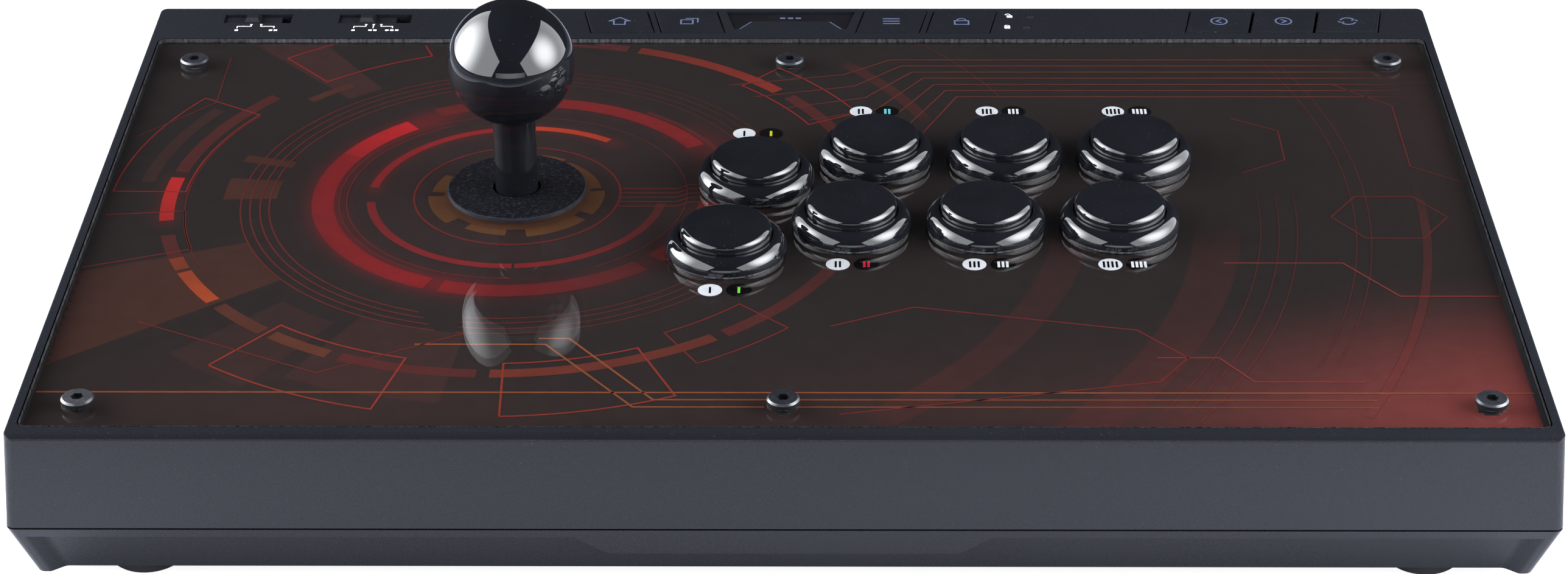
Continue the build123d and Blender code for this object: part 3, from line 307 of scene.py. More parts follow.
# panel, its cover and screws
PANEL_STEEL = surface("panel_steel", (0.28, 0.28, 0.29), 0.42, metal=1, grain=0.3, depth=0.006,
                      relief="brushed")
PRINT = ink("printed_sheet")
ACRYLIC = clear("clear_acrylic", (0.985, 0.985, 0.98), 0.0)
CUT = sawn_edge("acrylic_cut_edge")
SCREW = surface("black_screw", linear(24, 25, 30), 0.26, tint=0.25, patch=3, grain=0.22,
                depth=0.006, specular=0.8, speck=linear(120, 122, 130))
# Painted highlight and painted shade: the screws' bevel ring is a paler copy of their black, and their sides
# a darker one.
SCREW_RIM_PAINTED_HIGHLIGHT = surface("screw_rim_painted_highlight", linear(44, 45, 50), 0.26, patch=2, grain=0.2, depth=0.006,
                    tint=0.3, specular=0.6)
SCREW_SIDE_PAINTED_SHADE = surface("screw_side_painted_shade", linear(12, 12, 14), 0.5, patch=2, grain=0.2, depth=0.006,
                     specular=0.2)

# buttons and lever
GLOSS = surface("gloss_black", linear(14, 15, 19), 0.025, tint=0.15, patch=12, grain=0.7,
                depth=0.0005, spread=0.01, specular=0.66, wave=0.0015, speck=linear(60, 62, 70))
COVER = surface("cover_black", linear(12, 13, 16), 0.05, tint=0.15, patch=10, grain=0.5,
                depth=0.001, spread=0.02, specular=0.45, wave=0.002, speck=linear(70, 72, 80))
WASHER = surface("washer_edge", linear(26, 27, 32), 0.2, patch=5, grain=0.3, depth=0.006,
                 specular=0.9)
# Its crease lines are a painted highlight in its colour, as well as a relief.
LEATHER = surface("washer_grain", linear(12, 12, 15), 0.24, tint=0.2, patch=2.2, grain=1.5,
                  depth=0.09, relief="creases", spread=0.06, specular=0.5)
SHAFT = surface("shaft_steel", (0.56, 0.56, 0.58), 0.2, metal=1, grain=0.3, depth=0.004,
                relief="brushed")
SPRING = surface("spring_steel", (0.4, 0.4, 0.42), 0.28, metal=1, grain=0.3, depth=0.006,
                 relief="brushed")
ZINC = surface("zinc_steel", (0.5, 0.5, 0.47), 0.34, metal=1, patch=9, grain=0.4, depth=0.01,
               tint=0.2)
STEEL = surface("screw_steel", (0.34, 0.34, 0.36), 0.3, metal=1, grain=0.25, depth=0.008, patch=4)
BLACK = surface("black_moulding", linear(30, 30, 33), 0.45, grain=0.4, depth=0.02, relief="pebble")
WHITE = surface("white_moulding", linear(214, 212, 204), 0.4, tint=0.05, grain=0.4, depth=0.01)
GATE = surface("clear_gate", linear(150, 156, 165), 0.3, tint=0.06, grain=0.5, depth=0.01)

# boards and switches
BOARD = surface("circuit_board", linear(20, 62, 44), 0.38, tint=0.35, patch=2.4, grain=0.5,
                depth=0.03, relief="pebble", speck=linear(190, 170, 110))
SWITCH = surface("switch_body", linear(36, 34, 34), 0.5, grain=0.4, depth=0.02)
METAL = surface("switch_metal", (0.6, 0.6, 0.6), 0.26, metal=1, patch=3, grain=0.3, depth=0.006,
                relief="brushed")

FINISH = {
    "case_plastic": CASE, "foot_rubber": RUBBER, "screw_steel": STEEL, "panel_steel": PANEL_STEEL,
    "black_screw": SCREW, "zinc_steel": ZINC, "black_moulding": BLACK, "white_moulding": WHITE,
    "washer_plastic": WASHER, "spring_steel": SPRING, "shaft_steel": SHAFT, "gloss_black": GLOSS,
    "clear_gate": GATE, "circuit_board": BOARD, "switch_body": SWITCH, "key_plastic": KEY,
    "window_gloss": WINDOW, "lamp_lens": LAMP, "switch_metal": METAL, "clear_acrylic": ACRYLIC,
    "printed_sheet": BLACK,
}
SLOT_OF = {part["node"]: part["material_slot"] for part in frame["record"]["subparts"]}


def dress(node, *materials, choose=None):
    """Gives a CAD node its materials. choose(normal) picks one by its number for each face."""
    mesh = NODES[node].data
    mesh.materials.clear()
    for material in materials:
        mesh.materials.append(material)
    for face in mesh.polygons:
        face.material_index = choose(face.normal) if choose else 0


def screw_zone(normal):
    """0 on a screw's top, 1 on its bevel, which gets a painted highlight, and 2 on its sides, which get
    painted shade.
    """
    if normal.z > 0.95:
        return 0
    return 1 if normal.z > 0.3 else 2


for name in NODES:
    dress(name, FINISH[SLOT_OF[name]])
dress("acrylic_cover", ACRYLIC, CUT, choose=lambda normal: int(abs(normal.z) < 0.5))
dress("dust_washer", WASHER, LEATHER, choose=lambda normal: int(normal.z > 0.97))
dress("panel_screws", SCREW, SCREW_RIM_PAINTED_HIGHLIGHT, SCREW_SIDE_PAINTED_SHADE, choose=screw_zone)
dress("shaft_cover", COVER)


# ---------------------------------------------------------------- mesh helpers

def piece(name, verts, faces, material, body, slot, colours=None, sharp=40):
    """A mesh object in metres that rides on a CAD body. colours is the ink at each vertex."""
    mesh = bpy.data.meshes.new(name)
    mesh.from_pydata([tuple(v) for v in verts], [], faces)
    mesh.materials.append(material)
    if colours is not None:
        layer = mesh.color_attributes.new("ink", "FLOAT_COLOR", "POINT")
        flat = np.ones((len(verts), 4), np.float32)
        flat[:, :3] = colours
        layer.data.foreach_set("color", flat.ravel())
    work = bmesh.new()
    work.from_mesh(mesh)
    bmesh.ops.delete(work, geom=[v for v in work.verts if not v.link_faces], context="VERTS")
    for face in work.faces:
        face.smooth = True
    for edge in work.edges:
        edge.smooth = len(edge.link_faces) == 2 and edge.calc_face_angle(0) < math.radians(sharp)
    work.to_mesh(mesh)
    work.free()
    obj = bpy.data.objects.new(name, mesh)
    bpy.context.scene.collection.objects.link(obj)
    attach(obj, body)
    return obj


def lathe(profile, at, turns=128):
    """Vertices and faces of a profile of (radius, height) points, in mm, turned about the upright
    through at. A radius of 0 closes the form on the axis."""
    verts, faces, rings = [], [], []
    for radius, height in profile:
        if radius == 0:
            rings.append([len(verts)])
            verts.append((at[0], at[1], height * MM))
            continue
        rings.append(list(range(len(verts), len(verts) + turns)))
        for k in range(turns):
            a = 2 * math.pi * k / turns
            x, y = at[0] + radius * MM * math.cos(a), at[1] + radius * MM * math.sin(a)
            verts.append((x, y, height * MM))
    for lower, upper in zip(rings, rings[1:]):
        for k in range(turns):
            n = (k + 1) % turns
            if len(upper) == 1:
                faces.append((lower[k], lower[n], upper[0]))
            else:
                faces.append((lower[k], lower[n], upper[n], upper[k]))
    return verts, faces


def heading(start, end):
    """The unit vector from one point to the next."""
    return (end - start) / (np.linalg.norm(end - start) or 1)


def ribbon(points, width, closed=False):
    """A flat line of that width through points, with mitred corners: pairs of (x, y) on its sides."""
    points = [np.array(p, float) for p in points]
    count = len(points)
    pairs = []
    for i, p in enumerate(points):
        arriving = heading(points[i - 1], p) if i or closed else None
        leaving = heading(p, points[(i + 1) % count]) if i < count - 1 or closed else None
        reach = width / 2
        if arriving is None:
            along = leaving
        elif leaving is None:
            along = arriving
        else:
            along = arriving + leaving
        along = along / (np.linalg.norm(along) or 1)
        across = np.array((-along[1], along[0]))
        if arriving is not None and leaving is not None:
            reach /= max(0.35, abs(np.dot(across, (-arriving[1], arriving[0]))))
        pairs.append((p + across * reach, p - across * reach))
    return pairs


# ---------------------------------------------------------------- ball top

def ball_top():
    """The ball, turned in fine steps, with a short bore where the shaft cover goes into it."""
    low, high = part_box("ball_top")
    middle, radius = (low + high) / 2, (high.x - low.x) / 2 / MM
    height = high.z / MM - radius
    foot = height - radius
    clearance, bevel, steps = 0.25, 0.5, 90
    neck = (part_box("shaft_cover")[1].x - middle.x) / MM + clearance
    profile = [(neck, foot + 2.4), (neck, foot + 0.9)]
    first = math.asin(min(1, (neck + bevel) / radius))
    for i in range(steps):
        a = first + (math.pi - first) * i / steps
        profile.append((radius * math.sin(a), height - radius * math.cos(a)))
    profile.append((0, height + radius))
    ball = piece("ball_gloss", *lathe(profile, middle, 160), GLOSS, "stick", "gloss_black")
    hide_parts("ball_top")
    return ball


ball = ball_top()


# ---------------------------------------------------------------- artwork: where it is and its inks

SHEET_LOW, SHEET_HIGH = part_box("artwork_sheet")
INK_DROP = 0.12                          # mm from the sheet's top down to the ground's ink
INK_Z = SHEET_HIGH.z / MM - INK_DROP     # each layer over the ground is a little higher
LEVER = centre("lever_shaft")
LX, LY = LEVER.x / MM, LEVER.y / MM
LEVER_HOLE, BUTTON_HOLE, SCREW_HOLE = 13.4, 15.0, 2.8
SCREW_COLUMNS = (-178, 0, 178)


def screw_middles():
    """Where the six panel screws stand."""
    points = np.array([v.co for v in NODES["panel_screws"].data.vertices]) / MM
    for x in SCREW_COLUMNS:
        for rear in (True, False):
            near = points[(abs(points[:, 0] - x) < 12) & ((points[:, 1] > 0) == rear)]
            low, high = near.min(0), near.max(0)
            yield (low[0] + high[0]) / 2, (low[1] + high[1]) / 2


HOLES = [(LX, LY, LEVER_HOLE)]           # x, y and radius
for n in BUTTONS:
    HOLES.append((*(centre(f"button_{n}_housing") / MM)[:2], BUTTON_HOLE))
for x, y in screw_middles():
    HOLES.append((x, y, SCREW_HOLE))

INK_GAIN = 0.64          # the printed colours are this share of the colours that they should show
VEIL = 0.001             # added before that, so that the darkest inks aren't lost
BAND_STRENGTH = 0.52     # of the rings' inks, for the wear and haze over them
GLOW_STRENGTH = 0.5      # of the haze along the rings


def shown(r, g, b):
    """The ink that shows as this display colour under the cover."""
    return np.array([(c + VEIL) * INK_GAIN for c in linear(r, g, b)])


def smooth(x):
    """Eases from 0 to 1."""
    x = np.clip(x, 0, 1)
    return x * x * (3 - 2 * x)


RED, ORANGE, BROWN, RUST, DIM = (176, 36, 40), (178, 74, 40), (108, 58, 42), (120, 46, 42), (84, 50, 46)
AMBER, DARK_AMBER, GOLD, WIRE = (122, 78, 38), (110, 70, 42), (150, 84, 52), (138, 62, 48)
ROSE, HAIR, HAIR_DARK = (150, 62, 58), (128, 48, 42), (112, 46, 42)

GLOWS = [  # middle radius, softness, first angle, sweep, feather, colour, strength
    (53.5, 4.6, 128, 122, 24, (150, 26, 34), 0.62),
    (57, 4.0, 36, 80, 20, (120, 30, 32), 0.3),
    (54, 5.0, 252, 90, 30, (110, 28, 32), 0.35),
    (40.5, 2.6, 54, 118, 14, (150, 30, 30), 0.28),
    (97, 3.2, 176, 12, 5, (150, 30, 34), 0.3),
    (61, 7.5, -24, 54, 20, (140, 34, 36), 0.32),
]
CLOUDS = [  # centre, reach, colour, strength
    ((205, -140), (150, 105), (152, 70, 66), 0.98),
    ((110, -150), (230, 95), (88, 52, 50), 0.45),
    ((-120, -130), (110, 70), (84, 54, 50), 0.25),
    ((-76, 5), (95, 95), (66, 46, 46), 0.35),
    ((210, 60), (70, 110), (76, 52, 50), 0.3),
]
GROUND = (44, 38, 37)


def ground(x, y):
    """The colour of the printed background, without its lines."""
    colour = np.tile(shown(*GROUND), (len(x), 1))
    for (cx, cy), (rx, ry), tone, strength in CLOUDS:
        far = np.hypot((x - cx) / rx, (y - cy) / ry)
        a = (smooth(1 - far) * strength)[:, None]
        colour = colour * (1 - a) + shown(*tone) * a
    r, t = np.hypot(x - LX, y - LY), np.degrees(np.arctan2(y - LY, x - LX))
    for mid, soft, first, sweep, feather, tone, strength in GLOWS:
        around = (t - first + feather) % 360
        a = smooth(around / feather) * smooth((sweep + 2 * feather - around) / feather)
        a = (a * strength * GLOW_STRENGTH * np.exp(-((r - mid) / soft) ** 2))[:, None]
        colour = colour * (1 - a) + shown(*tone) * a
    return colour


def inked(xs, ys, tone, share):
    """The ground with that share of an ink over it, at each point of a grid."""
    share = share.ravel()[:, None]
    colour = ground(xs.ravel(), ys.ravel()) * (1 - share) + shown(*tone) * share
    return colour.reshape(*xs.shape, 3)


def plain(xs, colour):
    """One colour at each point of a grid."""
    return np.tile(colour, (xs.size, 1)).reshape(*xs.shape, 3)


def inside(xs, ys):
    """Whether points lie on the sheet and clear of its holes."""
    ok = (xs > SHEET_LOW.x / MM) & (xs < SHEET_HIGH.x / MM)
    ok &= (ys > SHEET_LOW.y / MM) & (ys < SHEET_HIGH.y / MM)
    for hx, hy, hr in HOLES:
        ok &= np.hypot(xs - hx, ys - hy) > hr
    return ok


def whole_cells(ok):
    """Which cells of a grid have all four corners ok."""
    return ok[:-1, :-1] & ok[1:, 1:] & ok[:-1, 1:] & ok[1:, :-1]


def two_ends(strength):
    """The strength at the first end and at the last. A single number stands for both."""
    return strength if isinstance(strength, tuple) else (strength, strength)


# ---------------------------------------------------------------- artwork: shapes

class Layer:
    """Flat coloured shapes at one height, gathered into one piece."""

    def __init__(self, above):
        self.z = INK_Z + above
        self.verts, self.faces, self.colours = [], [], []

    def grid(self, xs, ys, colours, keep=None):
        """xs, ys and colours are arrays over rows and columns. keep says which cells are printed."""
        rows, columns = xs.shape
        base = len(self.verts)
        self.verts += [(x * MM, y * MM, self.z * MM) for x, y in zip(xs.ravel(), ys.ravel())]
        self.colours += list(colours.reshape(-1, 3))
        for i in range(rows - 1):
            for j in range(columns - 1):
                if keep is None or keep[i, j]:
                    a = base + i * columns + j
                    self.faces.append((a, a + 1, a + columns + 1, a + columns))

    def arc(self, radii, first, sweep, tone, strength=1.0, ease=0.0):
        """A band about the lever. ease fades its ends over that share of the sweep."""
        inner, outer = radii
        columns = max(2, int(math.radians(abs(sweep)) * outer / 1.1) + 1)
        rows = max(2, int((outer - inner) / 2.2) + 2)
        t = np.linspace(0, 1, columns)[None, :].repeat(rows, 0)
        r = np.linspace(inner, outer, rows)[:, None].repeat(columns, 1)
        a = np.radians(first + sweep * t)
        xs, ys = LX + r * np.cos(a), LY + r * np.sin(a)
        low, high = two_ends(strength)
        share = low + (high - low) * t
        if ease:
            share = share * smooth(t / ease) * smooth((1 - t) / ease)
        colours = inked(xs, ys, tone, share * BAND_STRENGTH)
        keep = whole_cells(inside(xs, ys))
        self.grid(xs[:, ::-1], ys[:, ::-1], colours[:, ::-1], keep[:, ::-1])

    def line(self, points, width, tone, strength=1.0):
        """A line through points, cut into short lengths so that it can fade and stop at a hole."""
        short = []
        for start, end in zip(points, points[1:]):
            start, end = np.array(start, float), np.array(end, float)
            count = max(1, int(np.linalg.norm(end - start) / 2.5))
            short += [start + (end - start) * i / count for i in range(count)]
        short.append(np.array(points[-1], float))
        sides = np.array(ribbon(short, width))
        xs, ys = sides[..., 0], sides[..., 1]
        share = np.repeat(np.linspace(*two_ends(strength), len(short)), 2)
        ok = inside(xs, ys).all(1)
        self.grid(xs, ys, inked(xs, ys, tone, share), (ok[:-1] & ok[1:])[:, None])

    def sector(self, radii, first, sweep, width, tone, strength=1.0):
        """The outline of a part of a ring."""
        n = max(3, int(abs(sweep) / 2))
        angles = [math.radians(first + sweep * i / n) for i in range(n + 1)]
        inner, outer = radii
        corners = [(outer, a) for a in angles] + [(inner, a) for a in reversed(angles)]
        points = [(LX + r * math.cos(a), LY + r * math.sin(a)) for r, a in corners]
        self.line(points + points[:1], width, tone, strength)

    def disc(self, x, y, radius, colour, n=48):
        """A flat disc of one ink."""
        t = np.linspace(0, 2 * math.pi, n + 1)[::-1]
        r = np.array([0, radius])[:, None]
        xs, ys = x + r * np.cos(t), y + r * np.sin(t)
        self.grid(xs, ys, plain(xs, colour))

    def bar(self, x, y, half, width, colour):
        """A short upright bar of one ink."""
        sides = np.array(ribbon([(x, y - half), (x, y + half)], width))
        xs, ys = sides[..., 0], sides[..., 1]
        self.grid(xs, ys, plain(xs, colour))

    def build(self, name):
        """The layer as one piece of the printed sheet."""
        return piece(name, self.verts, self.faces, PRINT, "case", "printed_sheet", self.colours)


# ---------------------------------------------------------------- artwork: the picture

def artwork_ground():
    """The background, as a fine grid, so that its clouds and glows are smooth."""
    step, margin = 1.25, 0.6
    gx = np.arange(SHEET_LOW.x / MM + margin, SHEET_HIGH.x / MM - margin + 0.1, step)
    gy = np.arange(SHEET_LOW.y / MM + margin, SHEET_HIGH.y / MM - margin + 0.1, step)
    xs, ys = np.meshgrid(gx, gy)
    layer = Layer(0)
    colours = ground(xs.ravel(), ys.ravel()).reshape(*xs.shape, 3)
    layer.grid(xs, ys, colours, whole_cells(inside(xs, ys)))
    return layer.build("artwork_ground")


background = artwork_ground()
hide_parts("artwork_sheet")

FIELDS = [  # radii, first angle, sweep, ink, strength, ease
    ((67, 82), 173, 9, BROWN, 0.6),
    ((67, 82), 163, 3, BROWN, 0.6),
    ((77, 150), 201, 18, BROWN, (0.42, 0.5)),
    ((80, 128), 124, 8, DIM, 0.7),
    ((112, 150), 108, 14, DIM, 0.35),
    ((150, 160), -52, 46, RUST, (0.25, 0.14), 0.1),
    ((188, 201), -44, 40, RUST, (0.25, 0.16), 0.15),
    ((77, 112), -118, 22, DIM, 0.5),
    ((122, 126), 20, 24, RUST, 0.4, 0.2),
    ((83, 121), 226, 13, DIM, 0.4),
]
fields = Layer(0.02)
for row in FIELDS:
    fields.arc(*row)
fields.build("artwork_fields")

HUB, SMALL, MIDDLE, RAISED, LARGE = (15.5, 20.4), (39.4, 41.9), (51, 57.2), (54.5, 60), (95, 99)
TEETH = [  # first angle, sweep, outer radius
    (-28, 34, 24.4), (10, 46, 23.6), (60, 18, 24.6), (150, 26, 24), (182, 40, 24.8), (236, 30, 23.6),
    (280, 44, 24.6),
]
BANDS = [  # radii, first angle, sweep, ink, strength, ease
    (SMALL, 54, 42, (196, 66, 40), (1.1, 1.5)),
    (SMALL, 97, 77, RED, (0.95, 0.7)),
    (SMALL, 186, 86, RED, (0.55, 0.8)),
    (SMALL, 273, 80, RED, (0.75, 0.25)),
    (MIDDLE, 128, 26, (186, 38, 42), (1.6, 0.9)),
    (MIDDLE, 154, 46, (160, 34, 38), (0.92, 0.55)),
    (MIDDLE, 200, 48, (160, 34, 38), (0.55, 0.8)),
    (MIDDLE, 252, 60, (150, 36, 38), (0.8, 0.3)),
    (MIDDLE, 318, 38, (150, 36, 38), (0.45, 0.85)),
    (RAISED, 31, 56, (160, 36, 38), (0.85, 0.85)),
    (RAISED, 88, 30, (130, 40, 38), (0.75, 0.6)),
    ((60.5, 62), 14, 42, RUST, 0.6),
    (LARGE, 141, 31, RUST, 0.62),
    (LARGE, 174, 15, (196, 44, 42), (1.5, 1.0)),
    (LARGE, 194, 8, RUST, 0.6),
    (LARGE, 202, 4, ORANGE, 0.7),
    (LARGE, 207, 11, (190, 80, 42), (0.9, 1.3)),
    (LARGE, 220, 11, BROWN, 0.95),
    (LARGE, 233, 11, (130, 68, 44), 0.8),
    (LARGE, 246, 22, RUST, 0.7),
    (LARGE, 270, 36, (150, 62, 42), (0.8, 0.6)),
    (LARGE, 308, 26, RUST, (0.7, 0.5)),
    (LARGE, 42, 30, (176, 58, 42), (0.95, 0.55)),
    (LARGE, 74, 26, RUST, (0.75, 0.4)),
    (LARGE, 24, 15, RUST, 0.7),
    (LARGE, -20, 34, DIM, 0.8),
    ((86, 89), 128, 10, BROWN, 0.7),
    ((103, 107), 150, 26, DIM, 0.6),
    ((132, 136), 158, 26, DIM, 0.6, 0.1),
]
bands = Layer(0.04)
bands.arc(HUB, 0, 360, DARK_AMBER, 0.9)
for first, sweep, reach in TEETH:
    bands.arc((HUB[1], reach), first, sweep, AMBER, 0.9)
for row in BANDS:
    bands.arc(*row)
bands.build("artwork_bands")


def artwork_rings():
    """The hairlines about the lever, and the outlines of parts of rings."""
    hair = 0.5
    fine = Layer(0.06)
    fine.arc((28.4, 29.1), 0, 360, (150, 42, 38), 0.7)
    fine.arc((47.2, 47.2 + hair), 116, 156, RUST, 0.8)
    fine.arc((49.3, 49.3 + hair), 100, 140, RUST, 0.6)
    fine.arc((47.2, 47.2 + hair), -60, 150, RUST, (0.7, 0.6))
    for k, radius in enumerate((68.6, 71.1, 73.9, 76.5)):
        hairline = (radius, radius + 0.55)
        fine.arc(hairline, 96 + 2 * k, 156, HAIR, (0.65, 0.85))
        fine.arc(hairline, 262, 88, HAIR, (0.75, 0.3))
        fine.arc(hairline, 18, 64, HAIR_DARK, 0.55)
    fine.arc((92, 92 + hair), 148, 60, RUST, 0.7)
    fine.arc((150, 150 + hair), 24, 26, RUST, 0.5)
    for radius in (206, 211, 216):
        fine.arc((radius, radius + hair), -34, 34, RUST, (0.6, 0.25))
    for radius in (232, 236):
        fine.arc((radius, radius + hair), -24, 52, RUST, 0.4, 0.2)
    fine.arc((250, 252.5), -28, 30, RUST, 0.4, 0.2)
    for radii, first, sweep, width, tone, strength in (
        ((93, 113.5), 148, 31, 0.5, (140, 46, 42), 0.75),
        ((94, 115), 110, 21, 0.6, (140, 42, 40), 0.8),
        ((92, 108), 28, 20, 0.5, (150, 42, 40), 0.8),
        ((92, 122), 186, 14, 0.5, (140, 46, 42), 0.5),
        ((92, 118), 232, 24, 0.6, (150, 56, 44), 0.75),
        ((92, 118), 272, 22, 0.6, (150, 56, 44), 0.7),
        ((88, 106), 300, 16, 0.5, (130, 46, 42), 0.6),
    ):
        fine.sector(radii, first, sweep, width, tone, strength)
    fine.build("artwork_rings")


def artwork_traces():
    """The lines that run across the panel as on a circuit board."""
    traces = Layer(0.08)
    for k in range(7):
        y = 90.5 - 4.1 * k
        bend = 22 + 3.2 * k
        drop = 11 + 3.5 * k
        stair = [(-18 + 8 * k, y - drop - 6), (bend - 6, y - drop + 1), (bend + 8, y), (152, y)]
        traces.line(stair, 0.55, WIRE, (0.35, 0.55))
        traces.line([(152, y), (188, y)], 0.55, WIRE, (0.55, 0.0))
    for k in range(5):
        y = 8.5 - 2.6 * k
        traces.line([(-47, y), (-31, y), (-27, y + 2.5), (-18, y + 2.5)], 0.5, RUST, 0.7)
    front_line = [(-190, -101.5), (-30, -101.5), (60, -101.5), (190, -101.5)]
    first_zigzag = [(-96, -77.5), (-62, -77.5), (-38, -108.5), (8, -108.5), (150, -108.5)]
    second_zigzag = [(-64, -74.5), (-56, -74.5), (-33, -105), (8, -105), (150, -105)]
    front_loop = [(12, -68), (34, -58), (92, -70), (104, -84), (96, -96), (14, -112)]
    hexagon = [(150, -8), (158, 4), (174, 4), (182, -8), (174, -20), (158, -20), (150, -8)]
    traces.line(front_line, 0.7, GOLD, (0.75, 0.6))
    traces.line(first_zigzag, 0.65, GOLD, (0.8, 0.3))
    traces.line(second_zigzag, 0.65, GOLD, (0.8, 0.3))
    traces.line(front_loop, 0.55, RUST, 0.7)
    traces.line([(-170, -66), (-120, -92), (-84, -72)], 0.5, RUST, 0.6)
    traces.line([(118, -34), (150, -34), (163, -52), (190, -52)], 0.5, ROSE, 0.6)
    traces.line([(128, 52), (141, 44), (141, 26), (128, 18)], 0.5, RUST, 0.5)
    traces.line([(160, 74), (176, 60), (176, 22), (190, 12)], 0.5, RUST, 0.5)
    traces.line(hexagon, 0.5, RUST, 0.5)
    traces.line([(96, -84), (112, -84), (120, -96), (148, -96)], 0.5, ROSE, 0.6)
    traces.line([(-188, 40), (-168, 62), (-168, 92)], 0.5, RUST, 0.4)
    traces.build("artwork_traces")


artwork_rings()
artwork_traces()


# ---------------------------------------------------------------- button labels, printed on the sheet

WHITE_INK, PAPER, NIGHT = (236, 238, 242), (228, 231, 238), (18, 18, 20)
NIGHT_SHARE = 0.4        # of that dark ink, to look black through the cover
LABEL_INKS = {1: (222, 214, 40), 2: (110, 214, 228), 5: (126, 222, 74), 6: (206, 36, 58)}


def button_labels():
    """Beside each button a pale disc and a dark one, both with as many bars as its place in its row."""
    paper, night = shown(*PAPER), shown(*NIGHT) * NIGHT_SHARE
    behind, before, apart = 29.9, -20.8, 1.15        # of labels from their buttons, and between bars
    discs, bars = Layer(0.095), Layer(0.105)
    for n in BUTTONS:
        at = centre(f"button_{n}_housing") / MM
        y = at.y + (behind if n in REAR_BUTTONS else before)
        left, right = at.x - 3.8, at.x + 3.9
        discs.disc(left, y, 3.25, paper)
        discs.disc(right, y, 3.4, night)
        count = (n - 1) % len(REAR_BUTTONS) + 1
        for k in range(count):
            off = (k - (count - 1) / 2) * apart
            bars.bar(left + off, y, 1.7, 0.6, night)
            bars.bar(right + off, y, 1.6, 0.7, shown(*LABEL_INKS.get(n, WHITE_INK)))
    discs.build("artwork_labels")
    bars.build("artwork_label_marks")


button_labels()


# ---------------------------------------------------------------- legends on the keys and the strip, and a painted highlight round the window's notch

# WINDOW_LIFT raises the painted highlight round the window's notch.
LEGEND_LIFT, WINDOW_LIFT = 0.015, 0.012          # mm of ink above the face that it is on


def legend(name, shapes, z, material, body, slot):
    """Thin flat ink at height z, also used for the painted highlight on the window. Each shape is (points,
    width, closed), in mm.
    """
    verts, faces = [], []
    for points, width, closed in shapes:
        pairs = ribbon(points, width, closed)
        if closed:
            pairs = pairs + pairs[:1]
        first = len(verts)
        for left, right in pairs:
            verts += [(left[0] * MM, left[1] * MM, z * MM), (right[0] * MM, right[1] * MM, z * MM)]
        for k in range(len(pairs) - 1):
            a = first + 2 * k
            faces.append((a, a + 1, a + 3, a + 2))
    return piece(name, verts, faces, material, body, slot)


def circle(x, y, r, first=0, sweep=360, n=28):
    """Points round a circle, or along a part of it."""
    angles = [math.radians(first + sweep * k / n) for k in range(n + (sweep < 360))]
    return [(x + r * math.cos(a), y + r * math.sin(a)) for a in angles]


def moved(shapes, x, y):
    """Shapes shifted by x and y."""
    return [([(px + x, py + y) for px, py in points], width, closed) for points, width, closed in shapes]


ICONS = {
    "home": [
        ([(-3.0, 0.2), (0, 2.6), (3.0, 0.2), (1.7, 0.2), (1.7, -2.3), (-1.7, -2.3), (-1.7, 0.2)], 0.5, True),
    ],
    "view": [
        ([(-2.6, -1.9), (1.0, -1.9), (1.0, 0.9), (-2.6, 0.9)], 0.5, True),
        ([(-1.2, 1.9), (2.5, 1.9), (2.5, -0.9)], 0.5, False),
    ],
    "menu": [([(-2.6, y), (2.6, y)], 0.6, False) for y in (1.7, 0, -1.7)],
    "lock": [
        ([(-2.1, -2.3), (2.1, -2.3), (2.1, 0.3), (-2.1, 0.3)], 0.5, True),
        (circle(0, 0.5, 1.35, 0, 180, 12), 0.5, False),
    ],
    "stick_left": [
        (circle(0, 0, 2.4), 0.5, True),
        ([(0.7, 1.2), (-0.9, 0), (0.7, -1.2)], 0.5, False),
    ],
    "stick_right": [
        (circle(0, 0, 2.4), 0.5, True),
        ([(-0.7, 1.2), (0.9, 0), (-0.7, -1.2)], 0.5, False),
    ],
    "swap": [
        (circle(0, 0, 2.3, 20, 140, 12), 0.5, False),
        (circle(0, 0, 2.3, 200, 140, 12), 0.5, False),
        ([(1.1, 0.5), (2.2, 1.0), (3.0, 0.1)], 0.5, False),
        ([(-1.1, -0.5), (-2.2, -1.0), (-3.0, -0.1)], 0.5, False),
    ],
}
PADLOCK = [([(-0.8, -1.3), (0.8, -1.3)], 0.3, False), ([(-0.85, -0.6), (0.85, -0.6)], 1.25, False)]
SHUT = PADLOCK + [(circle(0, 0.1, 0.75, 0, 180, 10), 0.3, False)]
OPEN = PADLOCK + [(circle(-0.5, 0.4, 0.75, 0, 180, 10), 0.3, False)]


def key_legends():
    """Each key's icon, which moves with its cap."""
    for name in KEYS:
        at, top = centre(f"key_{name}") / MM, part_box(f"key_{name}")[1].z / MM
        shapes = moved(ICONS[name], at.x, at.y + 0.2)
        legend(f"legend_{name}", shapes, top + LEGEND_LIFT, ICON, f"key_{name}_cap", "key_plastic")


def slider_scale(x, y, stops, pitch, reach):
    """A leader from each of a slider's stops, pitch apart, to one, two or three pips in front, spread
    over reach to each side of x."""
    shapes = []
    for k in range(stops):
        tick = x + (k - (stops - 1) / 2) * pitch
        far = x + (k - (stops - 1) / 2) * (2 * reach / (stops - 1))
        if abs(far - tick) > 0.2:
            leader = [(tick, y + 1.2), (tick, y), (far, y), (far, y - 1.2)]
        else:
            leader = [(tick, y + 1.2), (tick, y - 1.2)]
        shapes.append(([(tick - 0.35, y + 1.3), (tick + 0.35, y + 1.3)], 0.5, False))
        shapes.append((leader, 0.32, False))
        for pip in range(k + 1):
            dot = far + (pip - k / 2) * 1.5
            shapes.append(([(dot - 0.5, y - 2.7), (dot + 0.5, y - 2.7)], 1.0, False))
    return shapes


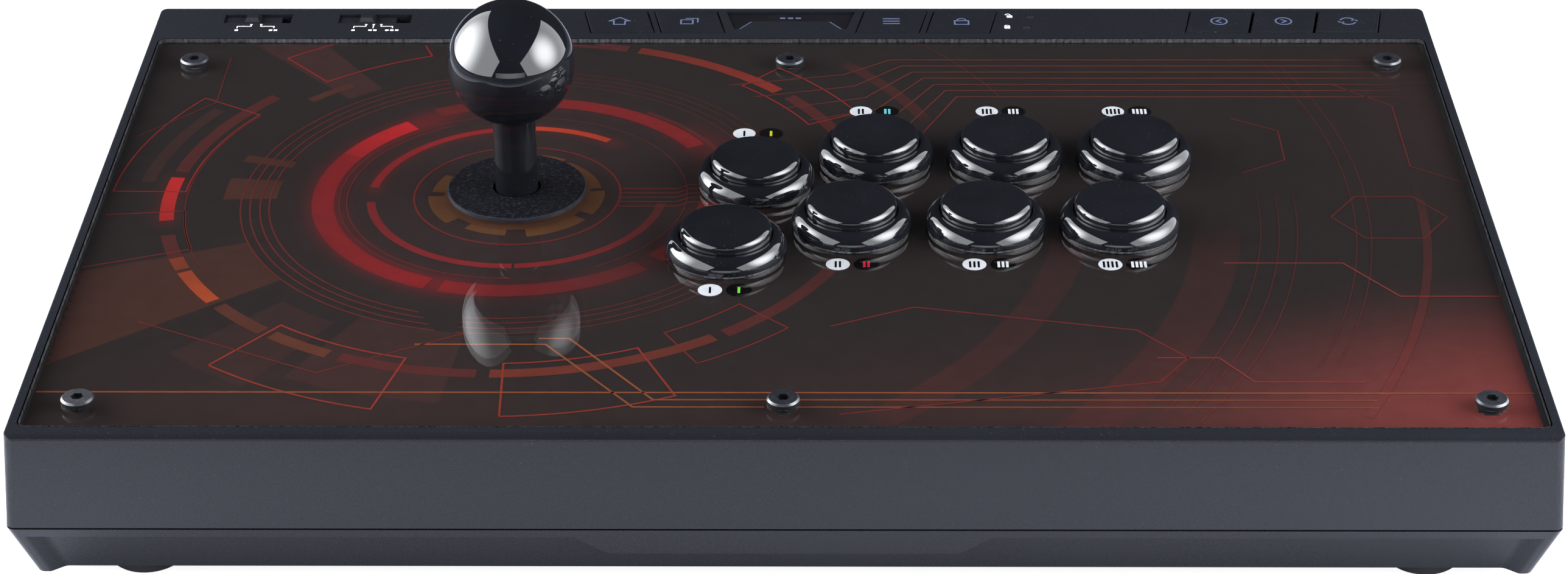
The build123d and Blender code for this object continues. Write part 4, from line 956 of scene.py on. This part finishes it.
def strip_legends():
    """The scales of the two sliders and a padlock, open and shut, beside the two lamps."""
    turbo, mode, leds = centre("turbo_slider") / MM, centre("mode_slider") / MM, centre("led_lenses") / MM
    y = turbo.y - 5.4
    shapes = slider_scale(turbo.x + 1.5, y, 2, 3.0, 5.6) + slider_scale(mode.x + 2.3, y, 3, 2.3, 5.9)
    shapes += moved(OPEN, leds.x - 5.6, leds.y + 4.6) + moved(SHUT, leds.x - 6.6, leds.y - 3.1)
    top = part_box("upper_case")[1].z / MM
    legend("strip_legends", shapes, top + LEGEND_LIFT, LEGEND, "case", "case_plastic")


def window_painted_notch_highlight_and_bars():
    """A painted highlight: a pale line round the window's notch, half a mm inside its edge, for the light
    along the notch's bevel, and three short bars behind it.
    """
    low, high = (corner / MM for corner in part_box("status_window"))
    x, front, rear = (low.x + high.x) / 2, low.y, high.y
    inset = 0.5
    corners = [v.co / MM for v in NODES["status_window"].data.vertices]
    notch = [c for c in corners if front + inset < c.y < rear - inset]
    notch_rear, notch_half = max(c.y for c in notch), max(abs(c.x - x) for c in notch)
    front_edge = [abs(c.x - x) for c in corners if c.y < front + 0.2]
    mouth_half, front_half = min(front_edge), max(front_edge)
    half_outline = [
        (front_half - inset, front + inset),
        (mouth_half + inset, front + inset),
        (notch_half + inset, notch_rear + inset),
    ]
    outline = [(x - off, y) for off, y in half_outline] + [(x + off, y) for off, y in reversed(half_outline)]
    shapes = [(outline, 0.4, False)]
    for off in (-2.4, 0, 2.4):
        shapes.append(([(x + off - 0.8, rear - 3.2), (x + off + 0.8, rear - 3.2)], 0.9, False))
    # The line round the notch is a painted highlight, drawn with the icons' grey material.
    legend("window_painted_notch_highlight_and_bars", shapes, high.z + WINDOW_LIFT, ICON, "case", "window_gloss")


key_legends()
strip_legends()
window_painted_notch_highlight_and_bars()


# ---------------------------------------------------------------- stage

FLOOR_HALF = 3.2                 # m
FLOOR_GLOW = 0.86                # the floor's own light, so that it looks nearly white
BOUNCE = (0.40, 0.415, 0.47)     # what the object gets back from the floor beside it
LEAST_BOUNCE = 0.14              # the share of it that is left far from the case
BOUNCE_NEAR, BOUNCE_FAR = 0.06, 0.26     # m from the case's outline where the fall begins and ends


def floor_material():
    """A pale floor to look at. What it reflects onto the object falls off away from the case."""
    net = Net("studio_floor")
    broad = net.noise(900, 2)
    net.join(net.tint(broad, (0.2, 0.2, 0.205), (0.24, 0.24, 0.24)), net.shader.inputs["Base Color"])
    net.join(net.span(net.noise(40, 3), 0.3, 0.7, 0.75, 0.9), net.shader.inputs["Roughness"])
    net.set(Emission_Color=(1, 1, 1, 1), Emission_Strength=FLOOR_GLOW, Specular_IOR_Level=0.2)
    outside = net.add("VectorMath", operation="ABSOLUTE")
    net.join(net.add("NewGeometry").outputs["Position"], outside.inputs[0])
    beyond = net.add("VectorMath", operation="SUBTRACT")
    beyond.inputs[1].default_value = (*CAD_BOX[1][:2], 0)
    net.join(outside.outputs[0], beyond.inputs[0])
    clear_of = net.add("VectorMath", operation="MAXIMUM")
    net.join(beyond.outputs[0], clear_of.inputs[0])
    gap = net.add("VectorMath", operation="LENGTH")
    net.join(clear_of.outputs[0], gap.inputs[0])
    near = net.span(gap.outputs["Value"], BOUNCE_NEAR, BOUNCE_FAR, 1, LEAST_BOUNCE, True)
    bounce = net.add("BsdfDiffuse")
    net.join(net.tint(near, (0, 0, 0), BOUNCE), bounce.inputs["Color"])
    mix = net.add("MixShader")
    net.join(net.add("LightPath").outputs["Is Camera Ray"], mix.inputs[0])
    net.join(bounce.outputs[0], mix.inputs[1])
    net.join(net.shader.outputs[0], mix.inputs[2])
    net.join(mix.outputs[0], net.out.inputs["Surface"])
    return net.material


def floor():
    """A flat square under the case."""
    work = bmesh.new()
    bmesh.ops.create_grid(work, x_segments=24, y_segments=24, size=FLOOR_HALF)
    mesh = bpy.data.meshes.new("studio_floor")
    work.to_mesh(mesh)
    work.free()
    mesh.materials.append(floor_material())
    obj = bpy.data.objects.new("studio_floor", mesh)
    bpy.context.scene.collection.objects.link(obj)


floor()


# ---------------------------------------------------------------- light

COOL = (0.94, 0.965, 1.0)
SHEEN_SHARE = 0.09               # of the side panels' strength, on all but the glossy parts
PANEL_WIDTH, PANEL_Z, PANEL_AIM_Z = 0.66, 0.32, 0.06             # m
HOT_REACH, PANEL_EDGE = 0.50, 0.21       # m to where a panel is dimmest, and its strength there
GLOSSY = [ball, NODES["panel_screws"]]
GLOSSY += [NODES[f"button_{n}_{part}"] for n in BUTTONS for part in ("housing", "plunger")]


def softbox(name, at, towards, size, radiance, hot, reach, edge):
    """A rectangular diffuser with a lamp behind the point hot: its brightness falls off to the share
    edge at that reach from it."""
    width, height = size
    light = bpy.data.lights.new(name, "AREA")
    light.shape, light.size, light.size_y = "RECTANGLE", width, height
    light.energy = radiance * math.pi * width * height
    light.color = COOL
    light.use_nodes = True
    tree = light.node_tree
    gap = tree.nodes.new("ShaderNodeVectorMath")
    gap.operation = "DISTANCE"
    gap.inputs[1].default_value = hot
    tree.links.new(tree.nodes.new("ShaderNodeNewGeometry").outputs["Position"], gap.inputs[0])
    ramp = tree.nodes.new("ShaderNodeMapRange")
    ramp.interpolation_type = "SMOOTHERSTEP"
    for key, value in (("From Min", 0), ("From Max", reach), ("To Min", 1), ("To Max", edge)):
        ramp.inputs[key].default_value = value
    tree.links.new(gap.outputs["Value"], ramp.inputs["Value"])
    tree.links.new(ramp.outputs[0], tree.nodes["Emission"].inputs["Strength"])
    lamp = bpy.data.objects.new(name, light)
    bpy.context.scene.collection.objects.link(lamp)
    lamp.visible_camera = False
    aim = Vector(towards) - Vector(at)
    lamp.matrix_world = Matrix.Translation(at) @ aim.to_track_quat("-Z", "Y").to_matrix().to_4x4()
    return lamp


def shine_on(lamp, objects, state):
    """Lets a lamp light only these objects (INCLUDE) or all but these (EXCLUDE)."""
    group = bpy.data.collections.new(lamp.name + "_group")
    for obj in objects:
        group.objects.link(obj)
    for member in group.collection_objects:
        member.light_linking.link_state = state
    lamp.light_linking.receiver_collection = group


def side_panel(name, x, y, length, radiance, hot):
    """A leaning diffuser at one side. The glossy parts get all of it. The rest gets its light, but
    only a faint copy of its sheen, and the cover gets that copy alone."""
    for use, share in (("mirror", 1.0), ("wash", 1.0), ("sheen", SHEEN_SHARE)):
        lamp = softbox(f"{name}_{use}", (x, y, PANEL_Z), (0, y, PANEL_AIM_Z), (length, PANEL_WIDTH),
                       radiance * share, hot, HOT_REACH, PANEL_EDGE)
        if use == "mirror":
            shine_on(lamp, GLOSSY, "INCLUDE")
        elif use == "wash":
            lamp.visible_glossy = False
            shine_on(lamp, GLOSSY + [NODES["acrylic_cover"]], "EXCLUDE")
        else:
            shine_on(lamp, GLOSSY, "EXCLUDE")


def front_fill(name, side, power):
    """A small soft lamp low in front of one end of the case, which doesn't show in anything glossy."""
    at = (0.40 * side, -0.36, 0.09)
    lamp = softbox(name, at, (0.15 * side, -0.12, 0.02), (0.2, 0.12), power, at, 0.3, 0.6)
    lamp.visible_glossy = False


side_panel("panel_left", -0.55, -0.19, 1.76, 20, (-0.60, 0.09, 0.24))
side_panel("panel_right", 0.56, -0.32, 1.80, 18, (0.56, -0.17, 0.36))
softbox("card_front", (0, -1.25, 0.10), (0, 0, 0.10), (1.2, 0.2), 2.2, (0, -1.25, 0.05), 0.9, 0.4)
front_fill("fill_left", -1, 6)
front_fill("fill_right", 1, 7)

world = bpy.data.worlds.new("studio")
bpy.context.scene.world = world
world.use_nodes = True
background_node = world.node_tree.nodes["Background"]
background_node.inputs["Color"].default_value = (0.03, 0.03, 0.034, 1)
background_node.inputs["Strength"].default_value = 1.0
